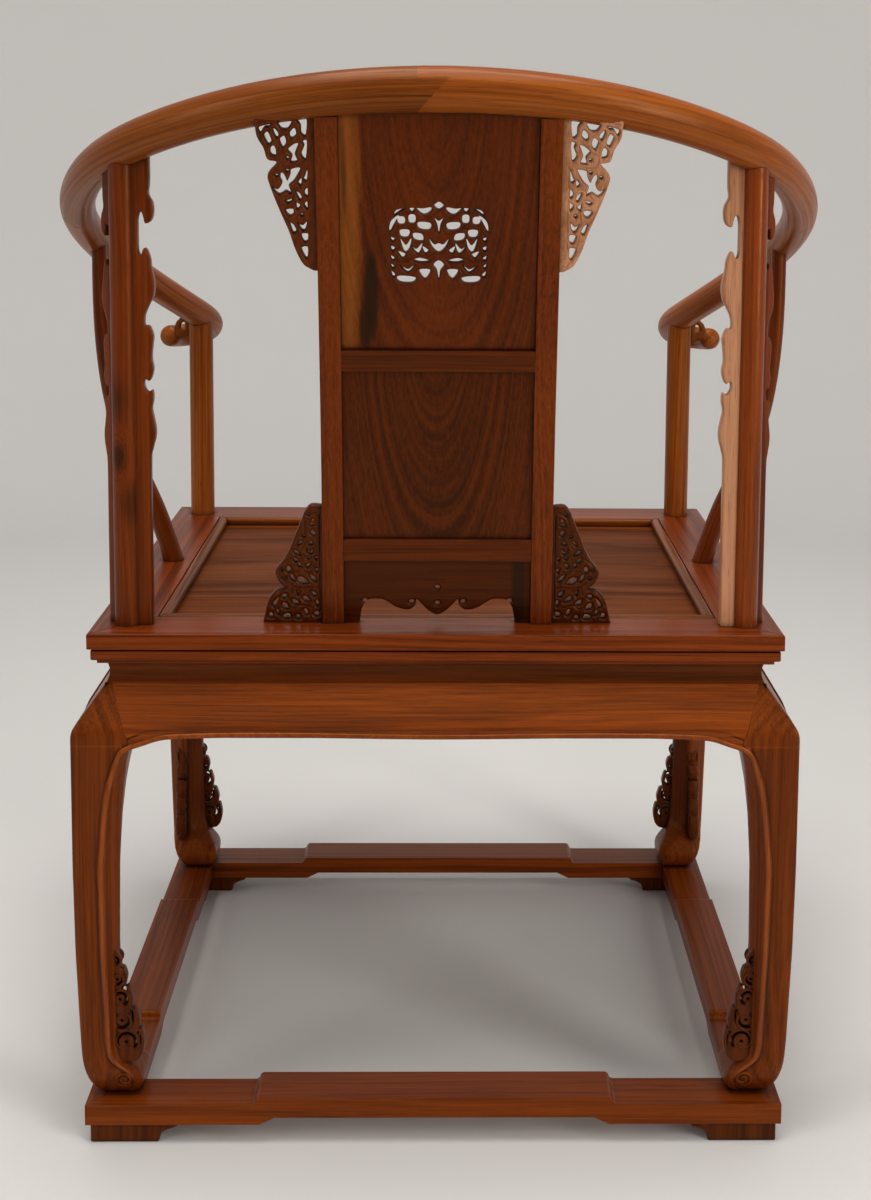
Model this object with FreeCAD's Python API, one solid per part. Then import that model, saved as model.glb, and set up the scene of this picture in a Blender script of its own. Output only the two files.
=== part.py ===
import FreeCAD, Part
import math
import os

# Horseshoe back armchair of solid wood, in millimetres, +Z up.
# The sitter faces -Y, and the sitter's left is +X.
# The origin is on the floor, under the middle of the chair's overall width and depth.

# Seat
seat_width = 660.0
seat_depth = 540.0
seat_height = 501.0
seat_rail_width = 57.0
seat_rail_height = 31.0
seat_band_height = 15.5
seat_groove = 2.0
seat_lower_band_height = 9.5
seat_lower_band_inset = 3.0
seat_fillet_inset = 8.0
seat_edge_chamfer = 1.2
seat_tenon_length = 44.0
seat_tenon_height = 10.0
seat_tenon_width = 11.0
seat_tenon_margin = 2.0
edging_width = 11.0
edging_rise = 1.0
edging_chamfer = 2.5
panel_recess = 8.0
panel_thickness = 10.0
panel_tongue = 8.0
rear_board_depth = 94.0
batten_width = 36.0
batten_top_width = 30.0
batten_height = 24.0
batten_spread = 250.0
batten_tenon = 10.0

# Waist, aprons and legs
waist_height = 21.0
waist_inset = 15.0
waist_hollow = 3.0
waist_thickness = 14.0
apron_height = 44.0
apron_thickness = 19.0
apron_end_drop = 8.0
apron_end_curve = 44.0
leg_bulge = 29.0
knee_drop = 39.0
knee_radius = 9.0
mitre_top_inset = 21.0
mitre_low_inset = 42.0
leg_face_width = 29.0
leg_depth = 41.0
leg_stub_width = 21.0
leg_tenon_width = 14.0
leg_tenon_height = 12.0
leaf_place = 38.0
leaf_height = 126.0
leaf_reach = 35.0
leaf_thickness = 12.0
leaf_setback = 10.0

# Base frame
base_height = 40.0
base_rail_height = 20.0
base_rail_width = 45.0
base_rise = 7.0
base_overhang_side = 6.0
base_overhang_back = 15.0
base_end_back = 153.0
base_end_side = 136.0
base_step_top = 9.0
base_step_under = 15.0
base_step_lag = 8.0
foot_length = 66.0
foot_ogee = 22.0
foot_inset = 4.0
foot_width = 36.0

# Posts
post_side_inset = 33.0
post_inset = 35.0
rear_post_diameter = 25.0
front_post_diameter = 29.0
side_post_foot_diameter = 22.0
side_post_top_diameter = 16.0
side_post_place = -5.0
side_post_flare = 74.0
side_post_rings = 4
post_tenon_width = 13.0
post_tenon_length = 12.0

# Crest rail and arms
rail_back_overhang = 58.0
rail_back_rise = 508.0
rail_shoulder_drop = 53.0
rail_front_rise = 250.0
rail_flare = 81.0
rail_back_diameter = 41.0
rail_shoulder_diameter = 37.0
rail_arm_diameter = 33.0
hook_reach = 67.0
hook_outward = 44.0
hook_drop = 31.0
hook_end_diameter = 27.0
scarf_length = 28.0
scarf_step = 11.0
centre_scarf_offset = 5.0
wedge_width = 6.0
wedge_taper = 1.0
wedge_depth = 12.0
scarf_zone = 22.0
post_zone = 17.0
crest_back_rings = 4
crest_side_rings = 2
arm_rings = 3
hook_rings = 11
bend_samples = 200
curved_gap = 0.4
scroll_thickness = 9.0
scroll_place = 22.0
scroll_reach = 42.0
scroll_height = 48.0

# Splat
splat_width = 220.0
stile_width = 20.0
stile_depth = 18.0
splat_foot_margin = 13.0
splat_top_inset = 6.0
splat_lower_rail_rise = 64.0
splat_lower_rail_width = 22.0
splat_middle_rail_drop = 246.0
splat_middle_rail_width = 20.0
splat_rail_tenon = 8.0
splat_panel_thickness = 9.0
splat_panel_tongue = 4.0
splat_foot_width = 15.0
splat_apron_drop = 45.0
splat_apron_hole = 5.0
medallion_width = 96.0
medallion_height = 74.0
medallion_rise = 96.0
stile_tenon_width = 9.0

# Brackets beside the splat and long spandrels beside the rear posts
bracket_thickness = 10.0
upper_bracket_reach = 54.0
upper_bracket_drop = 146.0
lower_bracket_reach = 58.0
lower_bracket_height = 122.0
long_spandrel_width = 21.0
side_spandrel_width = 18.0
long_spandrel_thickness = 12.0
long_spandrel_root = 4.0
side_spandrel_angle = 28.0
side_spandrel_drop = 14.0

# One overrun serves every cut
overrun = 5.0

# Places worked out from the sizes above
half_width = seat_width / 2
half_depth = seat_depth / 2
post_x = half_width - post_side_inset
post_y = half_depth - post_inset
stile_outer = splat_width / 2
stile_inner = stile_outer - stile_width
seat_underside = seat_height - seat_rail_height
waist_underside = seat_underside - waist_height
apron_underside = waist_underside - apron_height
panel_top = seat_height - panel_recess
panel_underside = panel_top - panel_thickness
rail_back_height = seat_height + rail_back_rise
rail_back_reach = half_depth + rail_back_overhang
rail_rear_post_height = rail_back_height - rail_shoulder_drop
rail_front_height = seat_height + rail_front_rise
splat_lower_rail_height = seat_height + splat_lower_rail_rise
splat_middle_rail_height = rail_back_height - splat_middle_rail_drop
splat_foot_place = half_depth - seat_rail_width + splat_foot_margin
splat_top_place = rail_back_reach - splat_top_inset
front_reach = post_y + hook_reach + rail_arm_diameter / 2
back_reach = rail_back_reach + rail_back_diameter / 2
depth_shift = (front_reach - back_reach) / 2

# A point of the splat's arc: (backwards, height)
splat_bend_share = (0.375, 0.516)

# The rail's run in plan and its fall: (sideways, forwards, down), as shares
rail_back_shares = ((0.0, 0.0, 0.0), (0.37, 0.108, 0.113), (0.707, 0.441, 0.453))
rail_arm_shares = ((0.654, 0.17, 0.156), (0.988, 0.372, 0.337), (0.951, 0.581, 0.532), (0.593, 0.791, 0.751))
hook_shares = (
    (-0.14, 0.40, 0.35),
    (-0.02, 0.79, 0.74),
    (0.41, 1.0, 1.0),
    (0.82, 0.87, 1.06),
    (1.0, 0.55, 1.0),
)

# The side post's bend: (height, flare)
side_post_shares = ((0.0, 0.0), (0.165, 0.21), (0.43, 0.71), (0.66, 0.93), (1.0, 1.0))

# The leg from the base up: (height, bulge, face width, depth, inner corner width)
leg_shares = (
    (0.0, 0.24, 0.97, 0.76, 0.85),
    (0.017, 0.42, 1.38, 1.05, 0.88),
    (0.034, 0.59, 1.6, 1.2, 0.9),
    (0.051, 0.69, 1.68, 1.26, 0.9),
    (0.103, 0.83, 1.03, 0.98, 0.62),
    (0.178, 0.88, 1.0, 0.94, 0.6),
    (0.377, 0.966, 1.0, 0.95, 0.6),
    (0.575, 1.0, 1.0, 1.0, 0.6),
    (0.694, 1.0, 1.14, 1.07, 0.62),
    (0.826, 1.0, 1.52, 1.24, 0.74),
)
leg_slant_share = 1.5
leg_top_face_share = 0.96

# The foot's inner edge from the base rail down: (run, height)
foot_shares = (
    ("line", (0.0, 1.0)),
    ("line", (0.3, 0.72)),
    ("line", (0.62, 0.62)),
    ("line", (0.95, 0.42)),
    ("line", (1.0, 0.0)),
)

# A point of the arc at the ends of an apron's lower edge: (run, rise)
apron_bow_share = (0.38, 0.78)

# Outlines below are lists of steps: a line to a point, or an arc through one point to the next

# The leaf on a leg's inner edge from its top down: (reach, height)
leaf_shares = (
    ("line", (0.3, 0.87)),
    ("line", (0.51, 0.69)),
    ("line", (0.67, 0.5)),
    ("line", (0.89, 0.29)),
    ("line", (0.98, 0.16)),
    ("line", (0.9, 0.05)),
    ("line", (0.69, 0.0)),
)
leaf_hole_shares = (((0.58, 0.43), (0.76, 0.26), (0.8, 0.11), (0.66, 0.24)),)

# The long spandrel's free edge from the seat up: (width, height)
spandrel_shares = (
    ("line", (0.76, 0.371)),
    ("line", (0.97, 0.415)),
    ("line", (0.97, 0.448)),
    ("line", (0.81, 0.481)),
    ("line", (0.86, 0.515)),
    ("line", (0.57, 0.52)),
    ("line", (0.46, 0.535)),
    ("line", (0.55, 0.545)),
    ("line", (0.76, 0.541)),
    ("line", (0.92, 0.568)),
    ("line", (0.81, 0.593)),
    ("line", (0.93, 0.625)),
    ("line", (0.9, 0.653)),
    ("line", (0.52, 0.655)),
    ("line", (0.52, 0.685)),
    ("line", (0.86, 0.738)),
    ("line", (0.97, 0.762)),
    ("line", (0.79, 0.8)),
    ("line", (0.48, 0.822)),
    ("line", (0.28, 0.835)),
    ("line", (0.26, 0.88)),
    ("line", (0.38, 0.898)),
    ("line", (0.62, 0.877)),
    ("line", (0.93, 0.9)),
    ("line", (0.81, 0.935)),
    ("line", (0.86, 1.0)),
)

# The upper bracket's free edge from its foot up: (reach, height)
upper_bracket_shares = (
    ("line", (0.09, 0.0)),
    ("line", (0.25, 0.04)),
    ("line", (0.38, 0.14)),
    ("line", (0.47, 0.25)),
    ("line", (0.77, 0.55)),
    ("line", (0.78, 0.61)),
    ("line", (0.66, 0.69)),
    ("line", (0.79, 0.71)),
    ("arc", (0.83, 0.79), (0.95, 0.85)),
    ("line", (0.99, 0.98)),
    ("line", (0.99, 1.07)),
)

# The lower bracket's free edge from its top down: (reach, height)
lower_bracket_shares = (
    ("line", (0.18, 0.97)),
    ("line", (0.28, 0.93)),
    ("line", (0.35, 0.85)),
    ("line", (0.74, 0.46)),
    ("line", (0.77, 0.4)),
    ("line", (0.61, 0.285)),
    ("line", (0.75, 0.27)),
    ("arc", (0.91, 0.18), (1.0, 0.0)),
)

# The splat apron's lower edge from a foot to the middle: (run, rise)
splat_apron_shares = (
    ("line", (0.97, 0.31)),
    ("line", (0.86, 0.53)),
    ("line", (0.7, 0.53)),
    ("line", (0.56, 0.37)),
    ("line", (0.38, 0.3)),
    ("line", (0.29, 0.38)),
    ("line", (0.26, 0.52)),
    ("arc", (0.17, 0.35), (0.0, 0.17)),
)
splat_apron_hole_shares = ((0.0, 0.8), (0.0, 0.43), (0.33, 0.47), (-0.33, 0.47), (0.93, 0.47), (-0.93, 0.47))

# The scroll under the arm's end, from the arm down to the hook: (reach, height)
scroll_shares = (
    ("line", (0.25, 0.95)),
    ("line", (0.62, 0.98)),
    ("line", (0.85, 0.84)),
    ("line", (0.62, 0.68)),
    ("line", (0.78, 0.5)),
    ("line", (0.85, 0.1)),
)
scroll_start_share = 0.5
scroll_hole_shares = (((0.3, 0.68), (0.46, 0.72), (0.46, 0.5), (0.34, 0.48)),)

# Holes through the brackets, each a list of corners: (reach, height)
upper_bracket_hole_shares = (
    ((0.13, 0.97), (0.3, 0.96), (0.23, 0.88), (0.15, 0.86)),
    ((0.38, 0.95), (0.61, 0.94), (0.57, 0.9), (0.43, 0.9)),
    ((0.71, 0.93), (0.92, 0.9), (0.89, 0.86), (0.75, 0.9)),
    ((0.77, 0.88), (0.84, 0.86), (0.77, 0.79), (0.71, 0.82)),
    ((0.13, 0.83), (0.22, 0.82), (0.24, 0.74), (0.16, 0.71)),
    ((0.28, 0.81), (0.45, 0.77), (0.4, 0.7), (0.32, 0.72)),
    ((0.25, 0.66), (0.41, 0.65), (0.48, 0.55), (0.34, 0.6)),
    ((0.5, 0.61), (0.59, 0.55), (0.72, 0.53), (0.5, 0.52)),
    ((0.39, 0.41), (0.53, 0.4), (0.48, 0.35), (0.39, 0.36)),
    ((0.38, 0.31), (0.46, 0.32), (0.41, 0.24), (0.34, 0.25)),
    ((0.15, 0.23), (0.27, 0.22), (0.24, 0.18), (0.16, 0.18)),
    ((0.16, 0.155), (0.28, 0.145), (0.22, 0.08), (0.17, 0.08)),
)
lower_bracket_hole_shares = (
    ((0.12, 0.81), (0.15, 0.87), (0.22, 0.81)),
    ((0.14, 0.65), (0.26, 0.64), (0.25, 0.58), (0.18, 0.57)),
    ((0.35, 0.56), (0.41, 0.6), (0.5, 0.61), (0.46, 0.56)),
    ((0.2, 0.51), (0.3, 0.48), (0.25, 0.44)),
    ((0.52, 0.45), (0.59, 0.49), (0.66, 0.44), (0.57, 0.41)),
    ((0.09, 0.34), (0.14, 0.39), (0.24, 0.41), (0.18, 0.34)),
    ((0.24, 0.32), (0.3, 0.39), (0.44, 0.36), (0.36, 0.32)),
    ((0.2, 0.17), (0.28, 0.23), (0.36, 0.22), (0.31, 0.17)),
    ((0.09, 0.22), (0.13, 0.26), (0.21, 0.27), (0.18, 0.21)),
    ((0.58, 0.22), (0.65, 0.25), (0.7, 0.22), (0.65, 0.19)),
    ((0.71, 0.21), (0.78, 0.2), (0.86, 0.14), (0.8, 0.12)),
    ((0.4, 0.14), (0.43, 0.2), (0.53, 0.2), (0.5, 0.14)),
    ((0.54, 0.04), (0.57, 0.09), (0.68, 0.07), (0.66, 0.03)),
)

# The medallion's fret, from its centre outwards: (half width, half height)
medallion_middle_shares = (
    ((0.0, 1.15), (0.09, 1.05), (0.0, 0.95), (-0.09, 1.05)),
    ((0.08, 0.74), (0.0, 0.66), (-0.08, 0.74), (0.0, 0.36)),
    ((0.16, 0.25), (0.0, 0.13), (-0.16, 0.25), (0.0, 0.0)),
    ((0.1, -0.46), (0.0, -0.34), (-0.1, -0.46), (0.0, -0.83)),
)
medallion_side_shares = (
    ((0.15, 0.98), (0.43, 0.96), (0.28, 0.81), (0.15, 0.88)),
    ((0.45, 0.61), (0.56, 0.61), (0.56, 0.81), (0.45, 0.81)),
    ((0.65, 0.58), (0.76, 0.58), (0.78, 0.76), (0.65, 0.76)),
    ((0.18, 0.43), (0.37, 0.46), (0.39, 0.63), (0.16, 0.61)),
    ((0.58, 0.25), (0.71, 0.25), (0.73, 0.43), (0.56, 0.43)),
    ((0.73, 0.2), (0.62, 0.05), (0.52, 0.2), (0.6, -0.13)),
    ((0.56, 0.08), (0.43, -0.05), (0.31, 0.1), (0.39, -0.18)),
    ((0.48, -0.33), (0.35, -0.27), (0.16, -0.36), (0.33, -0.4)),
    ((0.73, -0.47), (0.58, -0.55), (0.45, -0.44), (0.58, -0.67)),
    ((0.37, -0.59), (0.16, -0.59), (0.26, -0.83)),
    ((0.77, -0.75), (0.45, -0.78), (0.5, -0.92), (0.75, -0.9)),
    ((0.93, 0.38), (0.9, 0.65), (0.74, 0.83), (0.84, 0.58)),
)

pieces = {}


def vector(x, y, z):
    return FreeCAD.Vector(x, y, z)


def ogee_edges(start, end, along):
    """Two arcs that make an S, leaving and arriving along the given direction."""
    middle = (start + end) / 2
    chord = middle - start
    way = along if chord.dot(along) > 0 else -along
    turn = way.getAngle(chord)
    edges = []
    for tail, tip, side in ((start, middle, -1), (middle, end, 1)):
        rise = chord - way * chord.dot(way)
        sag = rise.normalize() * math.cos(turn) - way * math.sin(turn)
        bow = sag * (side * chord.Length / 2 * math.tan(turn / 2))
        edges.append(Part.Arc(tail, (tail + tip) / 2 + bow, tip).toShape())
    return edges


def outline(place, start, steps):
    """A face in the plane of place, from a start point and steps that a line closes."""
    along = place((1, 0)) - place((0, 0))
    first = place(start)
    here = first
    edges = []
    for kind, *flat in steps:
        points = [place(point) for point in flat]
        if kind == "line":
            edges.append(Part.makeLine(here, points[0]))
        elif kind == "arc":
            edges.append(Part.Arc(here, points[0], points[1]).toShape())
        elif kind == "ogee":
            edges.extend(ogee_edges(here, points[0], along))
        here = points[-1]
    if here.distanceToPoint(first) > 0:
        edges.append(Part.makeLine(here, first))
    return Part.Face(Part.Wire(edges))


def scaled(shares, across, up, origin=(0, 0)):
    """Steps in real sizes from a table of shares, measured from an origin."""
    side, low = origin
    return [(kind, *[(side + across * out, low + up * high) for out, high in flat]) for kind, *flat in shares]


def board_x(x_low, x_high, start, steps):
    """An outline in Y and Z, extruded along X."""
    face = outline(lambda point: vector(x_low, point[0], point[1]), start, steps)
    return face.extrude(vector(x_high - x_low, 0, 0))


def board_y(y_low, y_high, start, steps):
    """An outline in X and Z, extruded along Y."""
    face = outline(lambda point: vector(point[0], y_low, point[1]), start, steps)
    return face.extrude(vector(0, y_high - y_low, 0))


def board_z(z_low, z_high, corners):
    """A polygon in X and Y, extruded along Z."""
    steps = [("line", corner) for corner in corners[1:]]
    face = outline(lambda point: vector(point[0], point[1], z_low), corners[0], steps)
    return face.extrude(vector(0, 0, z_high - z_low))


def pierced(board, depth, origin, size, holes):
    """A board in X and Z with straight-sided holes through it, placed as shares of a size from an origin."""
    tools = []
    for corners in holes:
        points = [(origin[0] + size[0] * out, origin[1] + size[1] * up) for out, up in corners]
        tools.append(board_y(-depth, depth, points[0], [("line", point) for point in points[1:]]))
    return board.cut(tools)


def block(x_low, x_high, y_low, y_high, z_low, z_high):
    return Part.makeBox(x_high - x_low, y_high - y_low, z_high - z_low, vector(x_low, y_low, z_low))


def round_corner(before, corner, after, radius):
    """The start, middle and end of the arc that rounds a corner of an outline."""
    here = vector(corner[0], corner[1], 0)
    back = (vector(before[0], before[1], 0) - here).normalize()
    ahead = (vector(after[0], after[1], 0) - here).normalize()
    half = back.getAngle(ahead) / 2
    run = radius / math.tan(half)
    bisector = (back + ahead).normalize()
    middle = here + bisector * (radius / math.sin(half) - radius)
    start = here + back * run
    end = here + ahead * run
    return (start.x, start.y), (middle.x, middle.y), (end.x, end.y)


def mirror_x(shape):
    return shape.mirror(vector(0, 0, 0), vector(1, 0, 0))


def mirror_y(shape):
    return shape.mirror(vector(0, 0, 0), vector(0, 1, 0))


def turned(shape):
    """A piece made for the back, turned to the sitter's left."""
    copy = shape.copy()
    copy.rotate(vector(0, 0, 0), vector(0, 0, 1), -90)
    return copy


def mitred(shape, half_run, half_face, width, z_low, z_high):
    """The shape between the mitres of a frame member that faces +Y."""
    inner_run = half_run - width
    inner_face = half_face - width
    corners = (
        (-half_run, half_face),
        (half_run, half_face),
        (inner_run, inner_face),
        (-inner_run, inner_face),
    )
    return shape.common(board_z(z_low - overrun, z_high + overrun, corners))


def four_sides(name, maker):
    """Members for the back, front, left and right of a frame, from a maker of the back one."""
    back = maker(half_width, half_depth)
    left = turned(maker(half_depth, half_width))
    pieces[name + "_back"] = back
    pieces[name + "_front"] = mirror_y(back)
    pieces[name + "_left"] = left
    pieces[name + "_right"] = mirror_x(left)


def two_pairs(name, maker):
    """Like four_sides, with each pair of like strips as one piece of two solids."""
    back = maker(half_width, half_depth)
    left = turned(maker(half_depth, half_width))
    pieces[name + "_long"] = Part.makeCompound([back, mirror_y(back)])
    pieces[name + "_short"] = Part.makeCompound([left, mirror_x(left)])


def both_sides(name, left):
    pieces[name + "_left"] = left
    pieces[name + "_right"] = mirror_x(left)


def four_corners(name, rear_left):
    front_left = mirror_y(rear_left)
    pieces[name + "_rear_left"] = rear_left
    pieces[name + "_rear_right"] = mirror_x(rear_left)
    pieces[name + "_front_left"] = front_left
    pieces[name + "_front_right"] = mirror_x(front_left)


def cut_from(names, tools):
    """Cuts the tools out of the named pieces, so that they seat in each other."""
    for name in names:
        pieces[name] = pieces[name].cut(tools)


# Seat frame


def seat_rail(half_run, half_face):
    """A frame rail with two bands, a groove between them and a fillet below."""
    inner = half_face - seat_rail_width
    band_low = seat_height - seat_band_height
    groove_low = band_low - seat_groove
    lower_low = groove_low - seat_lower_band_height
    lower_face = half_face - seat_lower_band_inset
    fillet_face = half_face - seat_fillet_inset
    steps = (
        ("line", (half_face - seat_edge_chamfer, seat_height)),
        ("line", (half_face, seat_height - seat_edge_chamfer)),
        ("line", (half_face, band_low)),
        ("line", (lower_face - seat_groove, band_low)),
        ("line", (lower_face - seat_groove, groove_low)),
        ("line", (lower_face, groove_low)),
        ("line", (lower_face, lower_low + seat_edge_chamfer)),
        ("line", (lower_face - seat_edge_chamfer, lower_low)),
        ("line", (fillet_face, lower_low)),
        ("line", (fillet_face, seat_underside)),
        ("line", (inner, seat_underside)),
    )
    bar = board_x(-half_run, half_run, (inner, seat_height), steps)
    return mitred(bar, half_run, half_face, seat_rail_width, seat_underside, seat_height)


def seat_corner_tenon():
    """The tenon of the back rail in the left rail's mortise."""
    x_low = half_width - seat_rail_width
    y_low = half_depth - seat_rail_width + seat_tenon_margin
    z_low = seat_underside + seat_tenon_margin
    x_high = x_low + seat_tenon_length
    return block(x_low, x_high, y_low, y_low + seat_tenon_width, z_low, z_low + seat_tenon_height)


def seat_edging(half_run, half_face):
    """A chamfered strip on the panel, along the inside of a rail."""
    outer = half_face - seat_rail_width
    inner = outer - edging_width
    run = half_run - seat_rail_width
    top = seat_height + edging_rise
    steps = (
        ("line", (inner, top - edging_chamfer)),
        ("line", (inner + edging_chamfer, top)),
        ("line", (outer - edging_chamfer, top)),
        ("line", (outer, top - edging_chamfer)),
        ("line", (outer, panel_top)),
    )
    bar = board_x(-run, run, (inner, panel_top), steps)
    return mitred(bar, run, outer, edging_width, panel_top, top)


def seat_boards():
    """The two boards of the floating panel, with tongues in the rails' grooves."""
    side = half_width - seat_rail_width + panel_tongue
    end = half_depth - seat_rail_width + panel_tongue
    joint = end - panel_tongue - rear_board_depth
    main = block(-side, side, -end, joint, panel_underside, panel_top)
    rear = block(-side, side, joint, end, panel_underside, panel_top)
    return main, rear


def seat_battens():
    """Two battens under the panel, housed in the front and back rails."""
    end = half_depth - seat_rail_width + batten_tenon
    low = panel_underside - batten_height
    bars = []
    for side in (-1, 1):
        middle = side * batten_spread / 2
        steps = (
            ("line", (middle - batten_width / 2, low)),
            ("line", (middle + batten_width / 2, low)),
            ("line", (middle + batten_top_width / 2, panel_underside)),
        )
        bars.append(board_y(-end, end, (middle - batten_top_width / 2, panel_underside), steps))
    return Part.makeCompound(bars)


def make_seat():
    four_sides("seat_rail", seat_rail)
    two_pairs("seat_edging", seat_edging)
    tenon = seat_corner_tenon()
    tenons = [tenon, mirror_x(tenon), mirror_y(tenon), mirror_x(mirror_y(tenon))]
    pieces["seat_rail_back"] = pieces["seat_rail_back"].fuse(tenons[:2]).removeSplitter()
    pieces["seat_rail_front"] = pieces["seat_rail_front"].fuse(tenons[2:]).removeSplitter()
    cut_from(("seat_rail_left", "seat_rail_right"), tenons)
    main, rear = seat_boards()
    pieces["seat_panel_main_board"] = main
    pieces["seat_panel_rear_board"] = rear
    pieces["seat_battens"] = seat_battens()
    rails = [name for name in pieces if name.startswith("seat_rail")]
    cut_from(rails, [main, rear] + pieces["seat_battens"].Solids)


# Waist, aprons and legs


def waist_strip(half_run, half_face):
    """A hollow-faced strip between the seat frame and the apron."""
    run = half_run - waist_inset
    face = half_face - waist_inset
    middle = (seat_underside + waist_underside) / 2
    steps = (
        ("arc", (face - waist_hollow, middle), (face, waist_underside)),
        ("line", (face - waist_thickness, waist_underside)),
        ("line", (face - waist_thickness, seat_underside)),
    )
    bar = board_x(-run, run, (face, seat_underside), steps)
    return mitred(bar, run, face, waist_thickness, waist_underside, seat_underside)


def bulge_steps(half_face, foot):
    """The outer line of apron and leg from the waist's foot down to a height."""
    face = half_face - waist_inset
    knee = (face + leg_bulge, waist_underside - knee_drop)
    arc = round_corner((face, waist_underside), knee, (face + leg_bulge, foot), knee_radius)
    return (("line", arc[0]), ("arc", arc[1], arc[2]), ("line", (face + leg_bulge, foot)))


def apron(half_run, half_face):
    """A bulging apron between two mitres, with a lower edge that drops towards the legs."""
    face = half_face - waist_inset
    foot = apron_underside - apron_end_drop - overrun
    inner = face + leg_bulge - apron_thickness
    section = bulge_steps(half_face, foot) + (
        ("line", (inner, foot)),
        ("line", (inner, waist_underside - knee_drop)),
        ("line", (face - apron_thickness, waist_underside)),
    )
    bar = board_x(-half_run, half_run, (face, waist_underside), section)
    top_run = half_run - mitre_top_inset
    low_run = half_run - mitre_low_inset
    low = apron_underside - apron_end_drop
    bow = (low_run - apron_end_curve * apron_bow_share[0], low + apron_end_drop * apron_bow_share[1])
    rise = (low_run - apron_end_curve, apron_underside)
    steps = (
        ("line", (top_run, waist_underside)),
        ("line", (low_run, low)),
        ("arc", bow, rise),
        ("line", (-rise[0], rise[1])),
        ("arc", (-bow[0], bow[1]), (-low_run, low)),
    )
    back = face - apron_thickness - overrun
    window = board_y(back, half_face + leg_bulge, (-top_run, waist_underside), steps)
    return bar.common(window)


def leg_section(shares, leg_height):
    """One level of the leg: two outer faces, two slants and the inner corner's face."""
    up, bulge, face_share, depth_share, corner_share = shares
    x = half_width - waist_inset + leg_bulge * bulge
    y = half_depth - waist_inset + leg_bulge * bulge
    z = base_height + leg_height * up
    face = leg_face_width * face_share
    depth = leg_depth * depth_share
    slant = (depth - face) * leg_slant_share
    corner = depth * corner_share
    inward = (
        (0, 0),
        (face, 0),
        (depth, slant),
        (depth, corner),
        (corner, depth),
        (slant, depth),
        (0, face),
    )
    return [vector(x - across, y - along, z) for across, along in inward]


def stacked(rows):
    """A solid with flat sides through rows of points, whose edges run alike from row to row."""
    faces = [Part.Face(Part.makePolygon(row + row[:1])) for row in (rows[0], rows[-1])]
    for low, high in zip(rows, rows[1:]):
        for here in range(len(low)):
            after = (here + 1) % len(low)
            corners = [low[here], low[after], high[after], high[here], low[here]]
            faces.append(Part.Face(Part.makePolygon(corners)))
    return Part.Solid(Part.Shell(faces))


def leg_head():
    """The part of the leg beside the aprons, mitred on both outer faces."""
    low = apron_underside - apron_end_drop
    heads = []
    for half_run, board in ((half_width, board_y), (half_depth, board_x)):
        face = half_run - waist_inset
        steps = bulge_steps(half_run, low) + (
            ("line", (half_run - mitre_low_inset, low)),
            ("line", (half_run - mitre_top_inset, waist_underside)),
        )
        heads.append(board(0, half_width + half_depth, (face, waist_underside), steps))
    return heads[0].common(heads[1])


def leg():
    """The rear left leg, with a stub inside the waist and tenons at both ends."""
    leg_height = waist_underside - base_height
    low = apron_underside - apron_end_drop
    top_share = (low - base_height) / leg_height
    head_width = mitre_low_inset + leg_bulge - waist_inset
    top_face = head_width * leg_top_face_share
    top_row = (top_share, 1.0, top_face / leg_face_width, head_width / leg_depth, leg_top_face_share)
    rows = list(leg_shares) + [top_row]
    shaft = stacked([leg_section(row, leg_height) for row in rows])
    x_high = half_width - mitre_top_inset
    y_high = half_depth - mitre_top_inset
    stub = block(x_high - leg_stub_width, x_high, y_high - leg_stub_width, y_high, low, seat_underside)
    margin = (leg_stub_width - leg_tenon_width) / 2
    x_tenon = x_high - margin
    y_tenon = y_high - margin
    top_tenon = block(
        x_tenon - leg_tenon_width, x_tenon, y_tenon - leg_tenon_width, y_tenon,
        seat_underside - overrun, seat_underside + leg_tenon_height,
    )
    foot_tenon = block(
        x_tenon - leg_tenon_width, x_tenon, y_tenon - leg_tenon_width, y_tenon,
        base_height - leg_tenon_height, base_height + overrun,
    )
    return shaft.fuse([leg_head(), stub, top_tenon, foot_tenon]).removeSplitter()


def leg_leaves(rear_left_leg):
    """Two leaf boards on the inner edges of the rear left leg."""
    foot = base_height + leaf_place
    boards = []
    for half_run, half_face in ((half_width, half_depth), (half_depth, half_width)):
        outer = half_face - waist_inset + leg_bulge - leaf_setback
        root = half_run - waist_inset + leg_bulge - leg_face_width
        half = leaf_thickness / 2
        steps = scaled(leaf_shares, leaf_reach, leaf_height) + [("line", (0, 0))]
        leaf = pierced(board_y(-half, half, (0, leaf_height), steps), leaf_thickness, (0, 0),
                       (leaf_reach, leaf_height), leaf_hole_shares)
        leaf = mirror_x(leaf)
        leaf.translate(vector(root, outer - half, foot))
        boards.append(leaf)
    boards[1].rotate(vector(0, 0, 0), vector(0, 0, 1), -90)
    boards[1] = mirror_y(boards[1])
    return Part.makeCompound([solid.cut(rear_left_leg) for solid in boards])


def make_underframe():
    two_pairs("waist_strips", waist_strip)
    four_sides("apron", apron)
    rear_left = leg()
    four_corners("leg", rear_left)
    legs = [pieces[name] for name in pieces if name.startswith("leg_")]
    others = [name for name in pieces if name.startswith(("waist", "apron", "seat_rail"))]
    cut_from(others, legs)
    four_corners("leg_leaves", leg_leaves(rear_left))


# Base frame


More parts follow.
